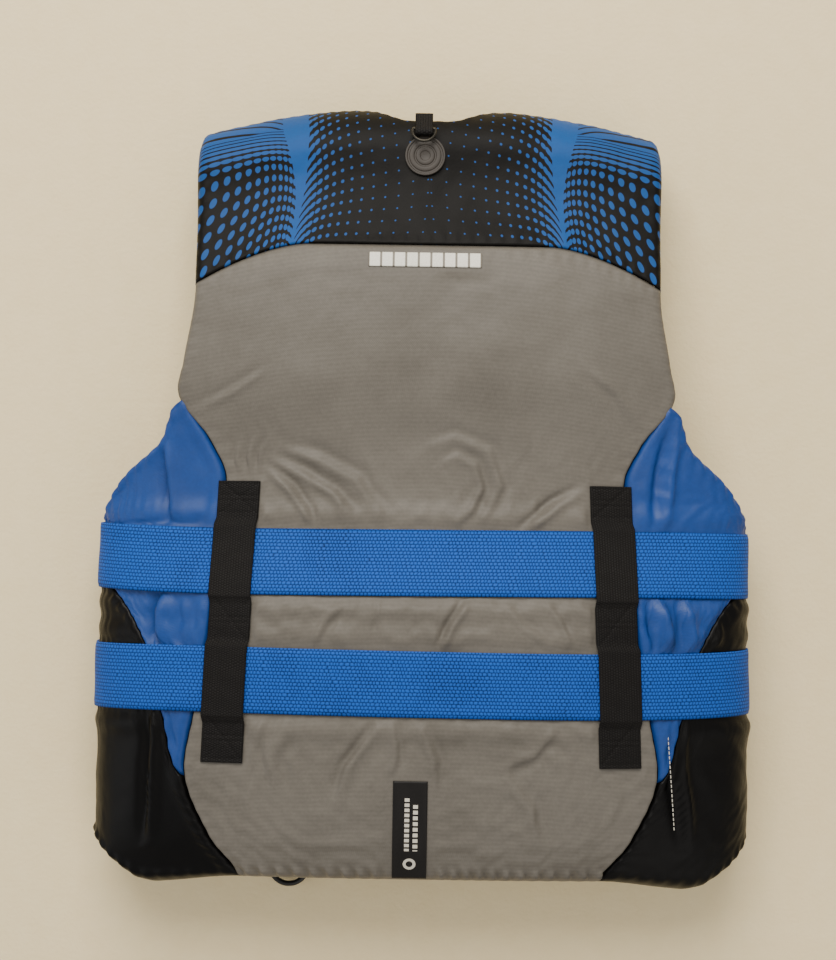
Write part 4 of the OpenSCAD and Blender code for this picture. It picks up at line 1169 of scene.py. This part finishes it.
def wire(name, path, radius, material, slot_name, nodes, body):
    """A closed ring of round wire along a line of points."""
    line = np.array(path, float)
    for _ in range(2):
        line = (np.roll(line, 1, 0) + 2 * line + np.roll(line, -1, 0)) / 4
    ahead = np.roll(line, -1, 0) - np.roll(line, 1, 0)
    ahead /= np.linalg.norm(ahead, axis=1, keepdims=True)
    flat = np.cross(line[len(line) // 4] - line.mean(0), line[0] - line.mean(0))
    flat /= np.linalg.norm(flat)
    out = np.cross(ahead, flat)
    turn = np.linspace(0, 2 * math.pi, 17)[:-1]
    points = line[:, None] + radius * (np.cos(turn)[None, :, None] * out[:, None]
                                       + np.sin(turn)[None, :, None] * flat)
    rows, cols = len(line), len(turn)
    faces = [[i * cols + k, i * cols + (k + 1) % cols, (i + 1) % rows * cols + (k + 1) % cols,
              (i + 1) % rows * cols + k] for i in range(rows) for k in range(cols)]
    obj = make_piece(name, points.reshape(-1, 3), faces)
    bm = bmesh.new()
    bm.from_mesh(obj.data)
    bmesh.ops.recalc_face_normals(bm, faces=bm.faces)
    bm.to_mesh(obj.data)
    bm.free()
    return finish_piece(obj, material, slot_name, nodes, body)


def d_shape(inside, wire_size, depth):
    """The middle line of a D ring: a straight bar and a bow, depth below it at the most."""
    half = inside / 2 + wire_size / 2
    low = half - depth
    line = dense([(-half, 0), (half, 0), (half, low)], 0.8)
    line += [(half * math.cos(a), low - half * math.sin(a)) for a in np.linspace(0, math.pi, 40)[1:-1]]
    return line + dense([(-half, low), (-half, 0)], 0.8)[:-1]


def tilted(place, slope, at):
    """Points (x, y, z) turned about X by slope and moved."""
    c, s = math.cos(math.radians(slope)), math.sin(math.radians(slope))

    def there(u, v, d):
        x, y, z = np.broadcast_arrays(*place(u, v, d))
        return np.stack([at[0] + x, at[1] + c * y - s * z, at[2] + s * y + c * z], -1)
    return there


def ring_and_loop(word, inside, size, depth, at, slope, width, thick, low, high, looks):
    """A D ring of wire, size thick, and its loop of webbing, which runs from low to high past the bar."""
    ring_look, ring_slot = looks
    c, s = math.cos(math.radians(slope)), math.sin(math.radians(slope))
    line = [(at[0] + x, at[1] + c * y, at[2] + s * y) for x, y in d_shape(inside, size, depth)]
    wire(word + "_ring_wire", line, size / 2, ring_look, ring_slot, [word + "_d_ring"], word + "_ring")
    h = size / 2 + 0.08 + thick / 2
    arc = [(-low - h * math.sin(a), h * math.cos(a)) for a in np.linspace(0, math.pi, 14)]
    path = dense([(high, h), arc[0]], 1.0)[:-1] + arc + dense([arc[-1], (high, -h)], 1.0)[1:]
    band = along_path(path, width, thick)

    def place(u, v, d):
        y, x, z = band(u, v, d)
        return x, y, z
    strip(word + "_loop_webbing", tilted(place, slope, at), 60, 10, (BLACK_WEBBING, "black_webbing"),
          [word + "_loop"], thick * 0.9, radius=0.2, flip=True)


BADGE_X, BADGE_Y = -3.8, 0.868 * HALF_LENGTH
BADGE_RADIUS, BADGE_THICK = 15.5, 1.8
# The badge's rings from its rim inwards: how far each edge goes in, and how far it then steps up
BADGE_RINGS = ((1.5, 0), (0.3, -0.6), (1.4, 0), (0.3, 0.5), (3.2, 0), (0.3, -0.5), (1.2, 0),
               (0.3, 0.5), (3.0, 0), (0.3, -0.4))


def badge():
    """A moulded rubber badge: a raised rim and plain rings, pressed in from a disc."""
    bpy.ops.object.select_all(action="DESELECT")
    bpy.ops.mesh.primitive_cylinder_add(vertices=96, radius=BADGE_RADIUS * MM, depth=BADGE_THICK * MM)
    obj = bpy.context.object
    obj.name = "badge_disc"
    bpy.ops.object.mode_set(mode="EDIT")
    bm = bmesh.from_edit_mesh(obj.data)
    for face in bm.faces:
        face.select_set(face.normal.z > 0.9)
    bmesh.update_edit_mesh(obj.data)
    for inset, step in BADGE_RINGS:
        bpy.ops.mesh.inset(thickness=inset * MM)
        bpy.ops.transform.translate(value=(0, 0, step * MM))
    bpy.ops.object.mode_set(mode="OBJECT")
    m = obj.modifiers.new("Soft edges", "BEVEL")
    m.width = 0.22 * MM
    m.segments = 2
    m.limit_method = "ANGLE"
    apply_modifiers(obj)
    spot, above, below = (over(BADGE_X, BADGE_Y + step, -1.7) for step in (0, 14, -14))
    ahead = above - below
    turn = Matrix.Rotation(math.atan2(ahead[2], ahead[1]), 4, "X")
    obj.data.transform(Matrix.Translation(Vector((spot * MM).tolist())) @ turn)
    obj.matrix_world = Matrix.Identity(4)
    obj.data.polygons.foreach_set("use_smooth", [True] * len(obj.data.polygons))
    obj.data.update()
    finish_piece(obj, RUBBER, "badge_rubber", ["round_badge"])


def trims():
    """The hem label, the reflective print, both D rings with their loops, the badge and the zip's tapes."""
    def label(u, v, d):
        return over(LABEL_X + (u - 0.5) * LABEL_WIDTH, LABEL_LOW + LABEL_LENGTH * v, d - 1.3)
    piece = panel("hem_label_cloth", label, 26, 60, (0.2, 0.2, 0.2, 0.2), thick=0.6, pucker=PLAIN, calm=4,
                  relief=lambda X, Y: 0.35 * np.sin(X / 5) * np.sin(Y / 13))
    finish_piece(piece, hem_label_material(), "label_cloth", ["hem_label"])

    def bar(u, v, d):
        return over(PRINT_X + (u - 0.5) * PRINT_WIDTH, PRINT_LOW + PRINT_LENGTH * v, d - 0.9)
    piece = panel("reflective_print", bar, 86, 11, (0, 0, 0, 0), thick=0.4, pucker=PLAIN, calm=4)
    finish_piece(piece, reflective_material(), "reflective_tape", ["reflective_bar"])
    ring_and_loop("neck", inside=14.8, size=2.4, depth=12.0, at=(-5, 0.935 * HALF_LENGTH + SEAT, 78.6),
                  slope=-30, width=13.4, thick=1.1, low=3, high=12.5, looks=(RING, "ring_steel"))
    ring_and_loop("lanyard", inside=26, size=4.4, depth=19.0, at=(-105, -0.955 * HALF_LENGTH + SEAT, 7.2),
                  slope=0, width=25, thick=1.4, low=0.4, high=15, looks=(ACETAL, "black_plastic"))
    badge()
    for side, word in ((-1, "left"), (1, "right")):
        def tape(u, v, d):
            points = (1.6 + 13.4 * u + 0 * v, mix(ZIP_LOW, ZIP_TOP, v) + SEAT, ZIP_HEIGHT - 1.35 + d)
            return np.stack(np.broadcast_arrays(*points), -1)
        piece = panel("zip_tape_cloth_" + word, mirrored(tape, side), 14, 120, (0, 0, 0, 0), thick=0.7,
                      pucker=PLAIN, flip=side > 0)
        finish_piece(piece, TAPE, "zip_tape", ["zip_tape_" + word])


STITCH_PITCH, THREAD_RADIUS = 3.6, 0.38


def seam_stitches():
    """A line of light thread down the right corner, where the foam folds at the side."""
    points, faces = [], []
    start, end = np.array((186.5, -169.0)), np.array((193.5, -249.0))
    length = np.linalg.norm(end - start)
    count = int(length / STITCH_PITCH)
    for k in range(count):
        for share in (k + 0.08, k + 0.72):
            x, y = mix(start, end, share / count)
            spot = around(back_t(x, y), y, -0.5)
            for a in range(6):
                turn = a * math.pi / 3
                points.append(spot + THREAD_RADIUS * np.array((math.cos(turn), 0, math.sin(turn))))
        one, two = k * 12, k * 12 + 6
        faces += [[one + a, one + (a + 1) % 6, two + (a + 1) % 6, two + a] for a in range(6)]
    finish_piece(make_piece("corner_topstitch", points, faces), THREAD, "grey_nylon", [])


def hard_parts():
    """The moulded and cast parts keep their exact shape and get soft edges, so many millimetres
    wide, and a finish."""
    groups = (("upper_socket upper_plug lower_socket lower_plug", ACETAL, "black_plastic", 0.9),
              ("upper_latch_neck_side upper_latch_hem_side lower_latch_neck_side lower_latch_hem_side",
               ACETAL, "black_plastic", 0.4),
              ("zip_teeth_left zip_teeth_right zip_box zip_stops", ACETAL, "black_plastic", 0.25),
              ("zip_slider zip_pull", SLIDER, "slider_metal", 0.3))
    for names, material, slot_name, soft in groups:
        for name in names.split():
            obj = frame["nodes"][name]
            obj.data.materials.clear()
            obj.data.materials.append(material)
            m = obj.modifiers.new("Soft edges", "BEVEL")
            m.width = soft * MM
            m.segments = 3
            m.limit_method = "ANGLE"
            m.angle_limit = math.radians(50)
            m.harden_normals = True


belts()
trims()
seam_stitches()
hard_parts()


# ---------- camera, light and floor ----------
def studio():
    """A camera straight above the jacket, a soft window beyond its shoulders, and a pale floor."""
    camera = bpy.data.objects.new("Camera", bpy.data.cameras.new("Camera"))
    bpy.context.scene.collection.objects.link(camera)
    camera.data.lens = 71.5
    camera.location = (-0.0055, 0.0195, 1.55)
    camera.rotation_euler = (0, 0, math.radians(0.9))
    bpy.context.scene.camera = camera
    for name, place, size, power, tint in (
            ("Window", (-0.25, 1.5, 1.7), 1.6, 66, (1.0, 0.955, 0.885)),
            ("Fill", (0.9, -1.2, 1.8), 1.8, 10, (1.0, 0.95, 0.88)),
            ("Low", (-1.8, -0.4, 1.0), 1.2, 6, (0.95, 0.97, 1.0))):
        light = bpy.data.objects.new(name, bpy.data.lights.new(name, "AREA"))
        light.data.size = size
        light.data.energy = power
        light.data.color = tint
        light.location = place
        light.rotation_euler = (-Vector(place)).to_track_quat("-Z", "Y").to_euler()
        bpy.context.scene.collection.objects.link(light)
    world = bpy.data.worlds.new("Studio")
    world.use_nodes = True
    world.node_tree.nodes["Background"].inputs["Color"].default_value = (1.0, 0.98, 0.95, 1)
    world.node_tree.nodes["Background"].inputs["Strength"].default_value = 0.5
    bpy.context.scene.world = world
    bpy.ops.mesh.primitive_plane_add(size=8, location=(0, 0, -0.0004))
    floor = bpy.context.object
    floor.name = "Floor"
    floor.data.materials.append(grained("pale floor", "feeabb", "f7e1ae", 0.8, 1.45, 260, 1.2))


studio()
